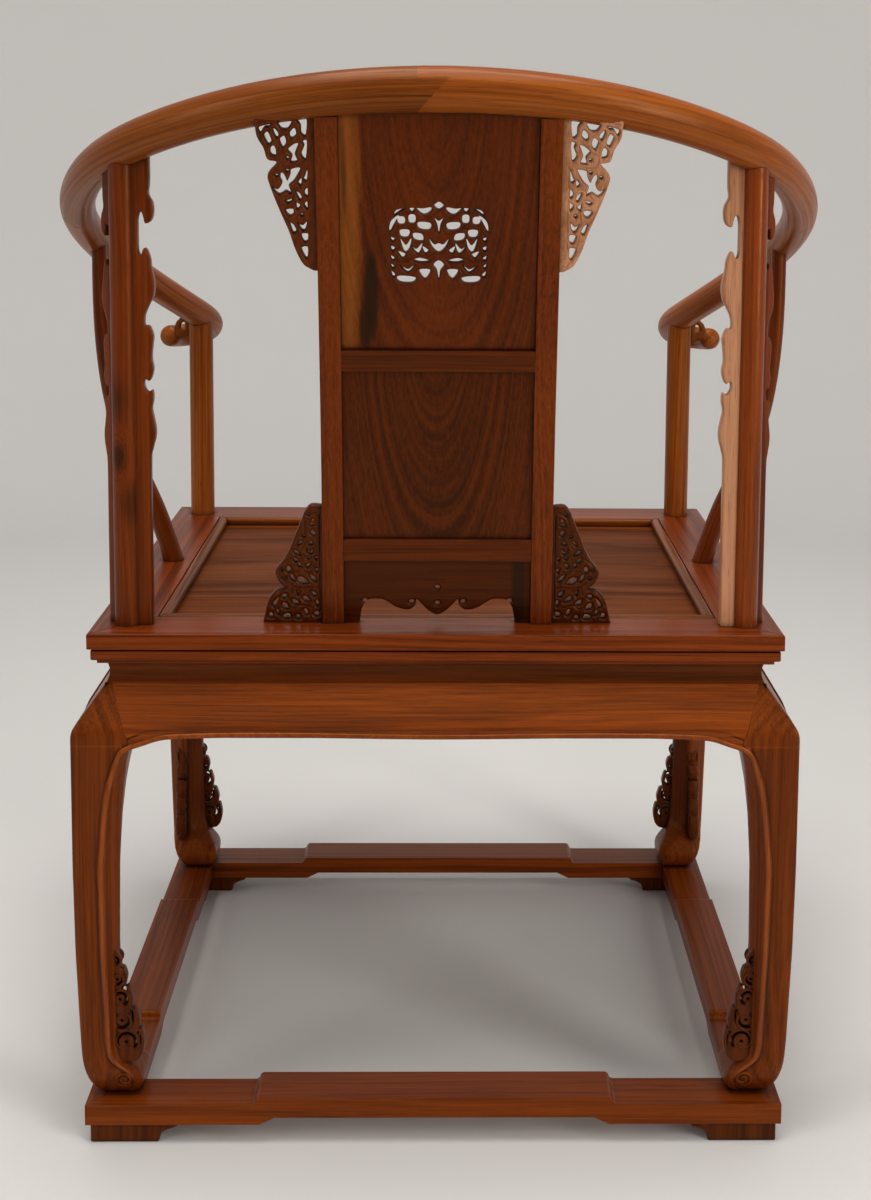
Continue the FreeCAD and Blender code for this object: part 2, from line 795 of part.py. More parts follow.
def base_rail(run, face, end):
    """A base rail with a raised middle, stepped by ogees above and below."""
    low = base_height - base_rail_height
    step = run - end
    raised = step - base_step_top
    under = step - base_step_lag
    under_raised = under - base_step_under
    steps = (
        ("line", (-run, base_height)),
        ("line", (-step, base_height)),
        ("ogee", (-raised, base_height + base_rise)),
        ("line", (raised, base_height + base_rise)),
        ("ogee", (step, base_height)),
        ("line", (run, base_height)),
        ("line", (run, low)),
        ("line", (under, low)),
        ("line", (under_raised, low + base_rise)),
        ("line", (-under_raised, low + base_rise)),
        ("line", (-under, low)),
    )
    bar = board_y(face - base_rail_width, face, (-run, low), steps)
    return mitred(bar, run, face, base_rail_width, low, base_height + base_rise)


def corner_foot():
    """The bracket foot under the rear left corner, one arm along each rail."""
    arms = []
    for run, face, board in (
        (half_width + base_overhang_side, half_depth + base_overhang_back, board_y),
        (half_depth + base_overhang_back, half_width + base_overhang_side, board_x),
    ):
        outer = run - foot_inset
        toe = outer - foot_length
        low = base_height - base_rail_height
        steps = [("line", (outer, low))] + scaled(foot_shares, foot_ogee, low, (toe - foot_ogee, 0))
        arms.append(board(face - foot_inset - foot_width, face - foot_inset, (outer, 0), steps))
    return arms[0].fuse(arms[1]).removeSplitter()


def make_base():
    side = half_width + base_overhang_side
    back = half_depth + base_overhang_back
    back_rail = base_rail(side, back, base_end_back + base_overhang_side)
    left_rail = turned(base_rail(back, side, base_end_side + base_overhang_back))
    pieces["base_rail_back"] = back_rail
    pieces["base_rail_front"] = mirror_y(back_rail)
    pieces["base_rail_left"] = left_rail
    pieces["base_rail_right"] = mirror_x(left_rail)
    legs = [pieces[name] for name in pieces if name.startswith("leg_") and "leaves" not in name]
    cut_from([name for name in pieces if name.startswith("base_rail")], legs)
    four_corners("foot", corner_foot())


# Crest rail and arms


def rail_points():
    """The left half of the rail's centreline, from the middle of the back to the hook's end."""
    points = []
    for across, ahead, down in rail_back_shares:
        x = post_x * across
        y = rail_back_reach + (post_y - rail_back_reach) * ahead
        z = rail_back_height + (rail_rear_post_height - rail_back_height) * down
        points.append(vector(x, y, z))
    points.append(vector(post_x, post_y, rail_rear_post_height))
    for across, ahead, down in rail_arm_shares:
        x = post_x + rail_flare * across
        y = post_y - 2 * post_y * ahead
        z = rail_rear_post_height + (rail_front_height - rail_rear_post_height) * down
        points.append(vector(x, y, z))
    points.append(vector(post_x, -post_y, rail_front_height))
    for across, ahead, down in hook_shares:
        x = post_x + hook_outward * across
        y = -post_y - hook_reach * ahead
        z = rail_front_height - hook_drop * down
        points.append(vector(x, y, z))
    return points


def rail_curve():
    """The whole centreline, from the right hook to the left hook."""
    left = rail_points()
    right = [vector(-point.x, point.y, point.z) for point in reversed(left[1:])]
    curve = Part.BSplineCurve()
    curve.interpolate(right + left)
    return curve


centreline = rail_curve()
place_back = centreline.parameter(vector(0, rail_back_reach, rail_back_height))
place_rear_post = centreline.parameter(vector(post_x, post_y, rail_rear_post_height))
place_side_scarf = centreline.parameter(rail_points()[len(rail_back_shares) + 2])
place_side_post = centreline.parameter(
    vector(post_x + side_post_flare, side_post_place, (rail_rear_post_height + rail_front_height) / 2)
)
place_front_post = centreline.parameter(vector(post_x, -post_y, rail_front_height))
place_end = centreline.LastParameter
back_stretch = (place_back, scarf_zone, place_rear_post, post_zone, crest_back_rings)


def rail_radius(place):
    """The rail's radius on its left half: full at the back, slimmer towards the hook."""
    stations = (
        (place_back, rail_back_diameter / 2),
        (place_rear_post, rail_shoulder_diameter / 2),
        (place_front_post, rail_arm_diameter / 2),
        (place_end, hook_end_diameter / 2),
    )
    mirrored = max(place, 2 * place_back - place)
    for (start, wide), (end, narrow) in zip(stations, stations[1:]):
        if mirrored <= end:
            share = (mirrored - start) / (end - start)
            return wide + (narrow - wide) * share
    return stations[-1][1]


def rail_frame(place):
    """A placement on the centreline: X level and across, Y up and across, Z along the rail."""
    middle = centreline.value(place)
    along = centreline.tangent(place)[0]
    level = vector(0, 0, 1).cross(along).normalize()
    up = along.cross(level)
    return FreeCAD.Placement(FreeCAD.Matrix(
        level.x, up.x, along.x, middle.x,
        level.y, up.y, along.y, middle.y,
        level.z, up.z, along.z, middle.z,
        0, 0, 0, 1,
    ))


def ring_wire(middle, across, along, radius):
    """A circle around a direction, whose seam lies on the side across."""
    side = along.cross(across)
    circle = Part.makeCircle(radius)
    circle.Placement = FreeCAD.Placement(FreeCAD.Matrix(
        across.x, side.x, along.x, middle.x,
        across.y, side.y, along.y, middle.y,
        across.z, side.z, along.z, middle.z,
        0, 0, 0, 1,
    ))
    return Part.Wire([circle])


def straight_length(place, reach):
    """A straight cylinder along the rail, for a stretch that holds a joint."""
    bar = Part.makeCylinder(rail_radius(place), 2 * reach, vector(0, 0, -reach))
    bar.Placement = rail_frame(place)
    return bar


def even_turns(first, last, rings):
    """Places that divide a stretch of the rail into lengths that bend by the same angle."""
    fine = [first + (last - first) * step / bend_samples for step in range(bend_samples + 1)]
    turned = [0.0]
    for here, after in zip(fine, fine[1:]):
        turned.append(turned[-1] + centreline.tangent(here)[0].getAngle(centreline.tangent(after)[0]))
    marks = [turned[-1] * ring / rings for ring in range(1, rings)]
    return [next(place for place, angle in zip(fine, turned) if angle >= mark) for mark in marks]


def bend_stations(start, start_reach, end, end_reach, rings):
    """The middle, direction and radius of each ring between one straight stretch and the next."""
    ends = []
    for place, reach in ((start, start_reach), (end, -end_reach)):
        along = centreline.tangent(place)[0]
        ends.append((centreline.value(place) + along * reach, along, rail_radius(place)))
    first = centreline.parameterAtDistance(start_reach, start)
    last = centreline.parameterAtDistance(-end_reach, end)
    middle = []
    for place in even_turns(first, last, rings):
        middle.append((centreline.value(place), centreline.tangent(place)[0], rail_radius(place)))
    return ends[:1] + middle + ends[1:]


def bent_length(*stretch):
    """A round length through the rings of a stretch, turned no more than the rail turns."""
    stations = bend_stations(*stretch)
    across = vector(0, 0, 1).cross(stations[0][1])
    circles = []
    for point, along, radius in stations:
        across = (across - along * across.dot(along)).normalize()
        circles.append(ring_wire(point, across, along, radius))
    return Part.makeLoft(circles, True, True)


def crest_length():
    """The back piece from past the centre scarf to past the side scarf, before the joints are cut."""
    parts = [
        straight_length(place_back, scarf_zone),
        bent_length(*back_stretch),
        straight_length(place_rear_post, post_zone),
        bent_length(place_rear_post, post_zone, place_side_scarf, scarf_zone, crest_side_rings),
        straight_length(place_side_scarf, scarf_zone),
    ]
    return parts[0].fuse(parts[1:])


def arm_length():
    """The arm from before the side scarf to the hook's end, before the joints are cut."""
    parts = [
        straight_length(place_side_scarf, scarf_zone),
        bent_length(place_side_scarf, scarf_zone, place_front_post, post_zone, arm_rings),
        straight_length(place_front_post, post_zone),
        bent_length(place_front_post, post_zone, place_end, 0, hook_rings),
    ]
    return parts[0].fuse(parts[1:])


def scarf_spaces(place, offset, way):
    """The spaces beyond and behind a scarf joint: a step, a tongue and a slanted seat between them."""
    radius = rail_radius(place)
    tall = 2 * radius
    shoulder = -scarf_length / 2
    step = radius - scarf_step
    seam = ((shoulder, tall), (shoulder, step), (-shoulder, step), (shoulder, -radius), (shoulder, -tall))
    spaces = []
    for far in (3 * scarf_length, -3 * scarf_length):
        corners = seam + ((far, -tall), (far, tall))
        points = [vector(-tall, up, offset + way * along) for along, up in corners]
        space = Part.Face(Part.makePolygon(points + points[:1])).extrude(vector(2 * tall, 0, 0))
        space.Placement = rail_frame(place)
        spaces.append(space)
    return spaces


def scarf_wedge(place, offset, way, rail):
    """A tapered pin, driven down through the scarf and trimmed to the rail."""
    tall = 2 * rail_radius(place)
    low = wedge_width / 2
    high = low + wedge_taper / 2
    middle = offset - way * scarf_length / 4
    depth = wedge_depth / 2
    corners = ((-low, -tall), (low, -tall), (high, tall), (-high, tall))
    points = [vector(-depth, up, middle + along) for along, up in corners]
    pin = Part.Face(Part.makePolygon(points + points[:1])).extrude(vector(wedge_depth, 0, 0))
    pin.Placement = rail_frame(place)
    return pin.common(rail)


def make_rail():
    """Two back pieces and two arms, with a wedge in each of the three scarf joints."""
    left = crest_length()
    right = mirror_x(left)
    arm = arm_length()
    beyond_centre, behind_centre = scarf_spaces(place_back, centre_scarf_offset, -1)
    beyond_side, behind_side = scarf_spaces(place_side_scarf, 0, 1)
    centre_wedge = scarf_wedge(place_back, centre_scarf_offset, -1, left)
    side_wedge = scarf_wedge(place_side_scarf, 0, 1, arm)
    pieces["crest_rail_left"] = left.cut([beyond_centre, beyond_side, centre_wedge, side_wedge])
    pieces["crest_rail_right"] = right.cut(
        [behind_centre, mirror_x(beyond_side), centre_wedge, mirror_x(side_wedge)]
    )
    arm = arm.cut([behind_side, side_wedge])
    both_sides("arm", arm)
    pieces["scarf_wedges"] = Part.makeCompound([centre_wedge, side_wedge, mirror_x(side_wedge)])
    both_sides("arm_scroll", arm_scroll())


def arm_scroll():
    """A pierced scroll that fills the hook under the arm's end."""
    half = scroll_thickness / 2
    steps = scaled(scroll_shares, scroll_reach, scroll_height)
    board = board_y(-half, half, (0, scroll_height * scroll_start_share), steps)
    size = (scroll_reach, scroll_height)
    scroll = pierced(board, scroll_thickness, (0, 0), size, scroll_hole_shares)
    scroll.translate(vector(post_x, -post_y - scroll_place, rail_front_height - hook_drop))
    return scroll.cut(cope(centreline.parameter(vector(post_x, -post_y - scroll_place, rail_front_height))))


# Posts


def tenon(x, y, low, high):
    """A square tenon on a post's axis."""
    half = post_tenon_width / 2
    return block(x - half, x + half, y - half, y + half, low, high)


def cope(place):
    """A straight bar that stands for the rail where a post or board meets it, with a small gap."""
    bar = Part.makeCylinder(rail_radius(place) + curved_gap, seat_depth, vector(0, 0, -seat_depth / 2))
    bar.Placement = rail_frame(place) * bar.Placement
    return bar


def crest_copes():
    """Bars along the left back piece's own lengths, with the same small gap."""
    bars = [cope(place_back)]
    stations = bend_stations(*back_stretch)
    for (start, *_, wide), (end, *_, narrow) in zip(stations, stations[1:]):
        run = end - start
        bars.append(Part.makeCylinder((wide + narrow) / 2 + curved_gap, run.Length, start, run))
    return bars


def head_tenon(y, place):
    """The tenon from inside a post's head into the rail."""
    under = centreline.value(place).z - rail_radius(place)
    return tenon(post_x, y, under - overrun, under + post_tenon_length)


def straight_post(y, diameter, place):
    """A round post, coped to the rail's underside, with a square tenon at each end."""
    top = centreline.value(place).z
    shaft = Part.makeCylinder(diameter / 2, top - seat_height, vector(post_x, y, seat_height))
    foot = tenon(post_x, y, seat_height - post_tenon_length, seat_height + overrun)
    return shaft.cut(cope(place)).fuse([foot, head_tenon(y, place)]).removeSplitter()


def side_post():
    """The bent post under the middle of an arm, slimmer and upright at the top."""
    top = centreline.value(place_side_post)
    height = top.z - rail_arm_diameter - seat_height
    points = [
        vector(post_x + (top.x - post_x) * out, top.y, seat_height + height * up)
        for up, out in side_post_shares
    ]
    bend = Part.BSplineCurve()
    bend.interpolate(points)
    upright = vector(0, 0, 1)
    slim = side_post_top_diameter / 2
    rings = []
    for ring in range(side_post_rings + 1):
        share = ring / side_post_rings
        place = bend.FirstParameter + (bend.LastParameter - bend.FirstParameter) * share
        radius = side_post_foot_diameter / 2 * (1 - share) + slim * share
        along = bend.tangent(place)[0] if 0 < ring < side_post_rings else upright
        rings.append(Part.Wire([Part.makeCircle(radius, bend.value(place), along)]))
    shaft = Part.makeLoft(rings, True, True)
    neck = Part.makeCylinder(slim, rail_arm_diameter, points[-1]).cut(cope(place_side_post))
    foot = tenon(post_x, top.y, seat_height - post_tenon_length, seat_height + overrun)
    return shaft.fuse([neck, foot])


def make_posts():
    both_sides("rear_post", straight_post(post_y, rear_post_diameter, place_rear_post))
    both_sides("front_post", straight_post(-post_y, front_post_diameter, place_front_post))
    both_sides("side_post", side_post())
    rear_tenon = head_tenon(post_y, place_rear_post)
    front_tenon = head_tenon(-post_y, place_front_post)
    cut_from(("crest_rail_left",), [rear_tenon])
    cut_from(("crest_rail_right",), [mirror_x(rear_tenon)])
    cut_from(("arm_left",), [front_tenon])
    cut_from(("arm_right",), [mirror_x(front_tenon)])
    posts = [pieces[name] for name in pieces if "post_" in name]
    cut_from(("seat_rail_back", "seat_rail_front", "seat_rail_left", "seat_rail_right"), posts)


# Splat


def lean(low_height, high_height):
    """The splat's place and slope between two heights."""
    low = splat_place(low_height)
    high = splat_place(high_height)
    return low, math.degrees(math.atan2(high - low, high_height - low_height))


def splat_bend():
    """Three points of the splat's arc in Y and Z, from the seat to the rail."""
    back, up = splat_bend_share
    lean_back = (splat_top_place - splat_foot_place) * back
    middle = (splat_foot_place + lean_back, seat_height + rail_back_rise * up)
    return (splat_foot_place, seat_height), middle, (splat_top_place, rail_back_height)


def splat_place(height):
    """The Y of the stile's arc at a height."""
    points = [vector(0, y, z) for y, z in splat_bend()]
    circle = Part.Arc(*points).toShape().Curve
    return circle.Center.y - math.sqrt(circle.Radius ** 2 - (height - circle.Center.z) ** 2)


def leaned(low_height, high_height, board):
    """A board made on the plane y = 0 above z = 0, set on the splat between two heights."""
    place, angle = lean(low_height, high_height)
    copy = board.copy()
    copy.rotate(vector(0, 0, 0), vector(1, 0, 0), -angle)
    copy.translate(vector(0, place, low_height))
    return copy


def stile():
    """The left stile, bent in side view, and its tenon in the seat."""
    half = stile_depth / 2
    front = [(y - half, z) for y, z in splat_bend()]
    back = [(y + half, z) for y, z in reversed(splat_bend())]
    steps = (("arc", *front[1:]), ("line", back[0]), ("arc", *back[1:]))
    shaft = board_x(stile_inner, stile_outer, front[0], steps)
    middle = (stile_inner + stile_outer) / 2
    wide = stile_tenon_width / 2
    low = seat_height - post_tenon_length
    foot = block(
        middle - wide, middle + wide, splat_foot_place - wide, splat_foot_place + wide,
        low, seat_height + overrun,
    )
    return shaft, foot


def splat_rail(low_height, high_height):
    """A rail between the stiles, with a tenon at each end."""
    half = stile_depth / 2
    width = high_height - low_height
    tongue = stile_inner + splat_rail_tenon
    thin = half / 3
    body = block(-stile_inner, stile_inner, -half, half, 0, width)
    bar = body.fuse(block(-tongue, tongue, -thin, thin, width / 4, width * 3 / 4)).removeSplitter()
    return leaned(low_height, high_height, bar)


def splat_panel(low_height, high_height):
    """A flat panel with tongues on all sides."""
    half = splat_panel_thickness / 2
    side = stile_inner + splat_panel_tongue
    rise = (high_height - low_height) / math.cos(math.radians(lean(low_height, high_height)[1]))
    return block(-side, side, -half, half, -splat_panel_tongue, rise + splat_panel_tongue)


def medallion_panel(low_height, high_height):
    """The upper panel, pierced by a fret that is the same on both sides of its middle."""
    slope = math.cos(math.radians(lean(low_height, high_height)[1]))
    origin = (0, medallion_rise / slope)
    other_side = [[(-out, up) for out, up in corners] for corners in medallion_side_shares]
    holes = list(medallion_middle_shares) + list(medallion_side_shares) + other_side
    size = (medallion_width / 2, medallion_height / 2)
    return pierced(splat_panel(low_height, high_height), splat_panel_thickness, origin, size, holes)


def splat_apron(high_height):
    """The lowest panel, with a cusped lower edge between two feet."""
    half = splat_panel_thickness / 2
    side = stile_inner + splat_panel_tongue
    top = high_height - seat_height + splat_panel_tongue
    run = stile_inner - splat_foot_width
    right = scaled(splat_apron_shares, run, splat_apron_drop)
    path = [(run, 0)] + [point for kind, *flat in right for point in flat]
    left = []
    for kind, *flat in reversed(right):
        count = len(flat)
        points = [(-out, up) for out, up in reversed(path[:-1])][:count]
        left.append((kind, *points))
        path = path[:-count]
    steps = [("line", (side, top)), ("line", (side, 0)), ("line", (run, 0))] + right + left
    board = board_y(-half, half, (-side, top), steps + [("line", (-side, 0))])
    half_hole = splat_apron_hole / 2
    holes = []
    for out, up in splat_apron_hole_shares:
        x = run * out
        z = splat_apron_drop * up
        sides = (("line", (x, z - half_hole)), ("line", (x + half_hole, z)), ("line", (x, z + half_hole)))
        holes.append(board_y(-overrun, overrun, (x - half_hole, z), sides))
    return board.cut(holes)


def upper_bracket():
    """The pierced board between the left stile's outer side and the crest rail."""
    rail_underside = rail_back_height - rail_back_diameter / 2
    place, angle = lean(rail_underside - upper_bracket_drop, rail_underside)
    foot = rail_underside - upper_bracket_drop * math.cos(math.radians(angle))
    half = bracket_thickness / 2
    size = (upper_bracket_reach, upper_bracket_drop)
    edge = scaled(upper_bracket_shares, *size)
    board = board_y(-half, half, (0, 0), edge + [("line", (0, edge[-1][1][1]))])
    board = pierced(board, half + overrun, (0, 0), size, upper_bracket_hole_shares)
    board.translate(vector(stile_outer, 0, 0))
    return leaned(foot, rail_underside, board)


def lower_bracket():
    """The pierced board that stands on the seat against the left stile's outer side."""
    half = bracket_thickness / 2
    size = (lower_bracket_reach, lower_bracket_height)
    edge = scaled(lower_bracket_shares, *size)
    board = board_y(-half, half, (0, edge[0][1][1]), edge + [("line", (0, 0))])
    board = pierced(board, half + overrun, (0, 0), size, lower_bracket_hole_shares)
    board.translate(vector(stile_outer, 0, 0))
    return leaned(seat_height, seat_height + lower_bracket_height, board)


def make_splat():
    lower_top = splat_lower_rail_height + splat_lower_rail_width
    middle_low = splat_middle_rail_height - splat_middle_rail_width / 2
    middle_top = splat_middle_rail_height + splat_middle_rail_width / 2
    copes = crest_copes()
    pieces["splat_lower_rail"] = splat_rail(splat_lower_rail_height, lower_top)
    pieces["splat_middle_rail"] = splat_rail(middle_low, middle_top)
    upper = leaned(middle_top, rail_back_height, medallion_panel(middle_top, rail_back_height))
    pieces["splat_upper_panel"] = upper.cut(copes + [mirror_x(bar) for bar in copes])
    pieces["splat_middle_panel"] = leaned(lower_top, middle_low, splat_panel(lower_top, middle_low))
    pieces["splat_apron"] = leaned(seat_height, splat_lower_rail_height, splat_apron(splat_lower_rail_height))
    panels = [pieces[name] for name in ("splat_upper_panel", "splat_middle_panel", "splat_apron")]
    cut_from(("splat_lower_rail", "splat_middle_rail"), panels)
    rails = [pieces["splat_lower_rail"], pieces["splat_middle_rail"]]
    shaft, foot = stile()
    both_sides("splat_stile", shaft.cut(panels + rails + copes).fuse(foot).removeSplitter())
    cut_from(("seat_rail_back",), [foot, mirror_x(foot)])
    stiles = pieces["splat_stile_left"]
    both_sides("upper_bracket", upper_bracket().cut(copes + [stiles]))
    both_sides("lower_bracket", lower_bracket().cut(stiles))


def long_spandrel(width, height):
    """A lobed board that stands on the seat beside a rear post, in the X and Z plane."""
    root = rear_post_diameter / 2 - long_spandrel_root
    steps = scaled(spandrel_shares, width, height, (root, 0))
    top = height + rail_shoulder_diameter / 2
    half = long_spandrel_thickness / 2
    edge = [("line", (steps[0][1][0], 0))] + steps + [("line", (steps[-1][1][0], top)), ("line", (root, top))]
    return board_y(-half, half, (root, 0), edge)


def make_long_spandrels():
    rail = cope(place_rear_post)
    height = rail_rear_post_height - rail_shoulder_diameter / 2 - seat_height
    rear = mirror_x(long_spandrel(long_spandrel_width, height))
    side = long_spandrel(side_spandrel_width, height - side_spandrel_drop)
    side.rotate(vector(0, 0, 0), vector(0, 0, 1), side_spandrel_angle - 90)
    for board in (rear, side):
        board.translate(vector(post_x, post_y, seat_height))
    rear = rear.cut(rail)
    side = side.cut(rail)
    both_sides("rear_spandrel", rear)
    both_sides("side_spandrel", side)
    cut_from(("rear_post_left",), [rear, side])
    cut_from(("rear_post_right",), [mirror_x(rear), mirror_x(side)])


def save_pieces():
    os.makedirs("parts", exist_ok=True)
    for name, shape in pieces.items():
        shape.translate(vector(0, depth_shift, 0))
        shape.exportStep(os.path.join("parts", name + ".step"))
        print(name, len(shape.Solids), round(shape.Volume), shape.isValid())


make_seat()
make_underframe()
make_base()
make_rail()
make_posts()
make_splat()
make_long_spandrels()
save_pieces()
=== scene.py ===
import bpy
import bmesh
import math
import numpy as np
from mathutils import Matrix, Vector


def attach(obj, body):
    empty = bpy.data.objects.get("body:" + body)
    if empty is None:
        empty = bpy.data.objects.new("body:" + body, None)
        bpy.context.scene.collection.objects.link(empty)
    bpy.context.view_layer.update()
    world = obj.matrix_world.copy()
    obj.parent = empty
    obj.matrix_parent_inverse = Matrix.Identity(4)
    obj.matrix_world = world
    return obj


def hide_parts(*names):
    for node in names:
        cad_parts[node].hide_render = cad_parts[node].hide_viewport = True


bl_info = {
    "name": "Horseshoe Back Armchair",
    "version": (1, 0, 0),
    "blender": (4, 5, 0),
    "location": "3D View > Sidebar > Armchair",
    "description": "Dresses the packed armchair with carved boards, smooth rails and polished wood",
    "category": "Object",
}

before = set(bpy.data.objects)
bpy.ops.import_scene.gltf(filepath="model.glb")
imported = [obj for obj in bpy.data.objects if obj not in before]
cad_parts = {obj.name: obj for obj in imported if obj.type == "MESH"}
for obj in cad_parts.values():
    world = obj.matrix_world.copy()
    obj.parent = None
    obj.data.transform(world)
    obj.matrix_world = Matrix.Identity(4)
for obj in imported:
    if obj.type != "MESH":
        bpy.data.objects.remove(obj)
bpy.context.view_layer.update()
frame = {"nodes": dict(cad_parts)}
nodes = frame["nodes"]

# Everything is in metres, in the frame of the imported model: the chair's back is towards +Y.
# Depths below are measured from the middle of the seat, which lies at this Y.
DEPTH_SHIFT = -0.015
SEAT_HEIGHT = 0.501
HALF_WIDTH = 0.330
HALF_DEPTH = 0.270
POST_X = 0.297
POST_Y = 0.235


def colour(value, text):
    return bpy.props.FloatVectorProperty(
        name=text.split(":")[0], description=text, default=value, size=3, min=0.0, max=1.0, subtype="COLOR")


def length(value, text):
    return bpy.props.FloatProperty(
        name=text.split(":")[0], description=text, default=value, min=0.0, unit="LENGTH", precision=5)


def factor(value, text):
    return bpy.props.FloatProperty(
        name=text.split(":")[0], description=text, default=value, min=0.0, subtype="FACTOR")


class WoodColours(bpy.types.PropertyGroup):
    """Light and dark figure of each wood finish."""
    crest_light: colour((0.265, 0.068, 0.009), "Crest light: early wood of the crest rail and arms")
    crest_dark: colour((0.11, 0.020, 0.002), "Crest dark: late wood of the crest rail and arms")
    frame_light: colour((0.155, 0.026, 0.003), "Frame light: early wood of posts, stiles and seat rails")
    frame_dark: colour((0.050, 0.0068, 0.0015), "Frame dark: late wood of posts, stiles and seat rails")
    splat_light: colour((0.11, 0.0165, 0.002), "Splat light: early wood of the splat's panels")
    splat_dark: colour((0.034, 0.004, 0.001), "Splat dark: late wood of the splat's panels")
    carved_light: colour((0.12, 0.021, 0.003), "Carving light: early wood of the carved boards")
    carved_dark: colour((0.040, 0.006, 0.0015), "Carving dark: late wood of the carved boards")
    seat_light: colour((0.145, 0.034, 0.004), "Seat light: early wood of the seat's panel")
    seat_dark: colour((0.052, 0.010, 0.0015), "Seat dark: late wood of the seat's panel")
    leg_light: colour((0.175, 0.033, 0.003), "Leg light: early wood of legs, aprons and base")
    leg_dark: colour((0.064, 0.0095, 0.0015), "Leg dark: late wood of legs, aprons and base")
    # The pale finish is a lit copy of the wood: a painted highlight on the right rear spandrel and the upper
    # right bracket, where they catch the key lamp
    pale_light: colour((0.50, 0.235, 0.125), "Pale light: early wood of the pale boards at one rear post")
    pale_dark: colour((0.29, 0.115, 0.050), "Pale dark: late wood of those pale boards")
    sapwood: colour((0.36, 0.102, 0.014), "Sapwood: pale wood along one side of the splat's upper panel")
    # The colour that corners and crevices darken to: painted shade, also standing for old wax and dust
    grime: colour((0.012, 0.003, 0.0015), "Grime: old wax and dust in the corners of the carving")


class RailSizes(bpy.types.PropertyGroup):
    """Sizes of the bent rails and posts."""
    back_diameter: length(0.041, "Back diameter: crest rail at the middle of the back")
    shoulder_diameter: length(0.037, "Shoulder diameter: rail over the rear posts")
    arm_diameter: length(0.033, "Arm diameter: arm over the front posts")
    hook_end_diameter: length(0.027, "Hook end diameter: end of the hooked arm")
    ring_spacing: length(0.004, "Ring spacing: distance between the rings of the tubes")
    joint_softening: length(0.0004, "Joint softening: rounding of the edges of a joint")


class EdgeSizes(bpy.types.PropertyGroup):
    """Rounding of the plain pieces."""
    frame: length(0.0012, "Frame edge: rounding of stiles, rails and seat frame")
    base: length(0.0018, "Base edge: rounding of base rails and feet")
    seam: length(0.0005, "Seam edge: rounding beside a mitre or a thin strip")


class CarvingSizes(bpy.types.PropertyGroup):
    """Relief of the carved boards and of the beads."""
    hole_margin: length(0.0003, "Hole margin: wood left inside the drawn line of a bracket's openings")
    round_over: length(0.0022, "Round over: width of the rounding beside a hole or a free edge")
    round_depth: length(0.0020, "Round depth: depth of that rounding")
    vein_width: length(0.0007, "Vein width: half the width of a vein cut in a leaf or a tendril")
    vein_depth: length(0.0009, "Vein depth: depth of a vein")
    panel: length(0.009, "Panel thickness: thickness of the splat's panels")
    bead: length(0.0052, "Bead: diameter of the bead on legs and aprons")
    quirk: length(0.0014, "Quirk: depth of the narrow groove beside the bead")


class StageLevels(bpy.types.PropertyGroup):
    """Floor, backdrop and lamps."""
    floor: colour((0.70, 0.69, 0.68), "Floor: plain pale floor and backdrop")
    world: factor(0.20, "World light: strength of the even light from all sides")
    key: factor(34.0, "Key lamp: power of the large lamp on the camera's right")
    fill: factor(16.0, "Fill lamp: power of the large lamp on the camera's left")
    top: factor(80.0, "Top lamp: power of the lamp overhead")


def chair_settings():
    return bpy.context.scene.armchair


class ArmchairSettings(bpy.types.PropertyGroup):
    """All settings of the armchair."""
    woods: bpy.props.PointerProperty(type=WoodColours, name="Woods", description="Colours of the woods")
    rails: bpy.props.PointerProperty(type=RailSizes, name="Rails", description="Sizes of the rails")
    edges: bpy.props.PointerProperty(type=EdgeSizes, name="Edges", description="Rounding of edges")
    carving: bpy.props.PointerProperty(type=CarvingSizes, name="Carving", description="Relief of the carving")
    stage: bpy.props.PointerProperty(type=StageLevels, name="Stage", description="Floor and lamps")


# Node groups and materials


def new_group(name, inputs, outputs):
    """A shader node group with named sockets, and its input and output nodes."""
    group = bpy.data.node_groups.new(name, "ShaderNodeTree")
    for socket, kind, value in inputs:
        made = group.interface.new_socket(socket, in_out="INPUT", socket_type=kind)
        if value is not None:
            made.default_value = value
    for socket, kind in outputs:
        group.interface.new_socket(socket, in_out="OUTPUT", socket_type=kind)
    return group, group.nodes.new("NodeGroupInput"), group.nodes.new("NodeGroupOutput")


def feed(tree, socket, value):
    """Links an input to another node's output, or gives it a plain value."""
    if isinstance(value, bpy.types.NodeSocket):
        tree.links.new(value, socket)
    else:
        socket.default_value = value


def add(tree, kind, values=(), **settings):
    """A node with its settings and the values or links of its inputs."""
    node = tree.nodes.new(kind)
    for name, value in settings.items():
        setattr(node, name, value)
    for socket, value in dict(values).items():
        feed(tree, node.inputs[socket], value)
    return node


def maths(tree, operation, first, second=0.0, clamp=False):
    node = add(tree, "ShaderNodeMath", {0: first, 1: second}, operation=operation, use_clamp=clamp)
    return node.outputs[0]


def stretched(tree, vector, scale):
    node = add(tree, "ShaderNodeVectorMath", {0: vector, 1: scale}, operation="MULTIPLY")
    return node.outputs[0]


def mixed(tree, share, first, second):
    node = add(tree, "ShaderNodeMix", data_type="RGBA")
    for socket, value in (("Factor_Float", share), ("A_Color", first), ("B_Color", second)):
        feed(tree, next(s for s in node.inputs if s.identifier == socket), value)
    return next(s for s in node.outputs if s.identifier == "Result_Color")


def ranged(tree, value, low, high, to_low=0.0, to_high=1.0):
    node = add(tree, "ShaderNodeMapRange", {
        "Value": value, "From Min": low, "From Max": high, "To Min": to_low, "To Max": to_high})
    return node.outputs["Result"]


def noise(tree, vector, detail=2.0, roughness=0.5, scale=1.0):
    node = add(tree, "ShaderNodeTexNoise", {
        "Vector": vector, "Scale": scale, "Detail": detail, "Roughness": roughness})
    return node.outputs["Fac"]


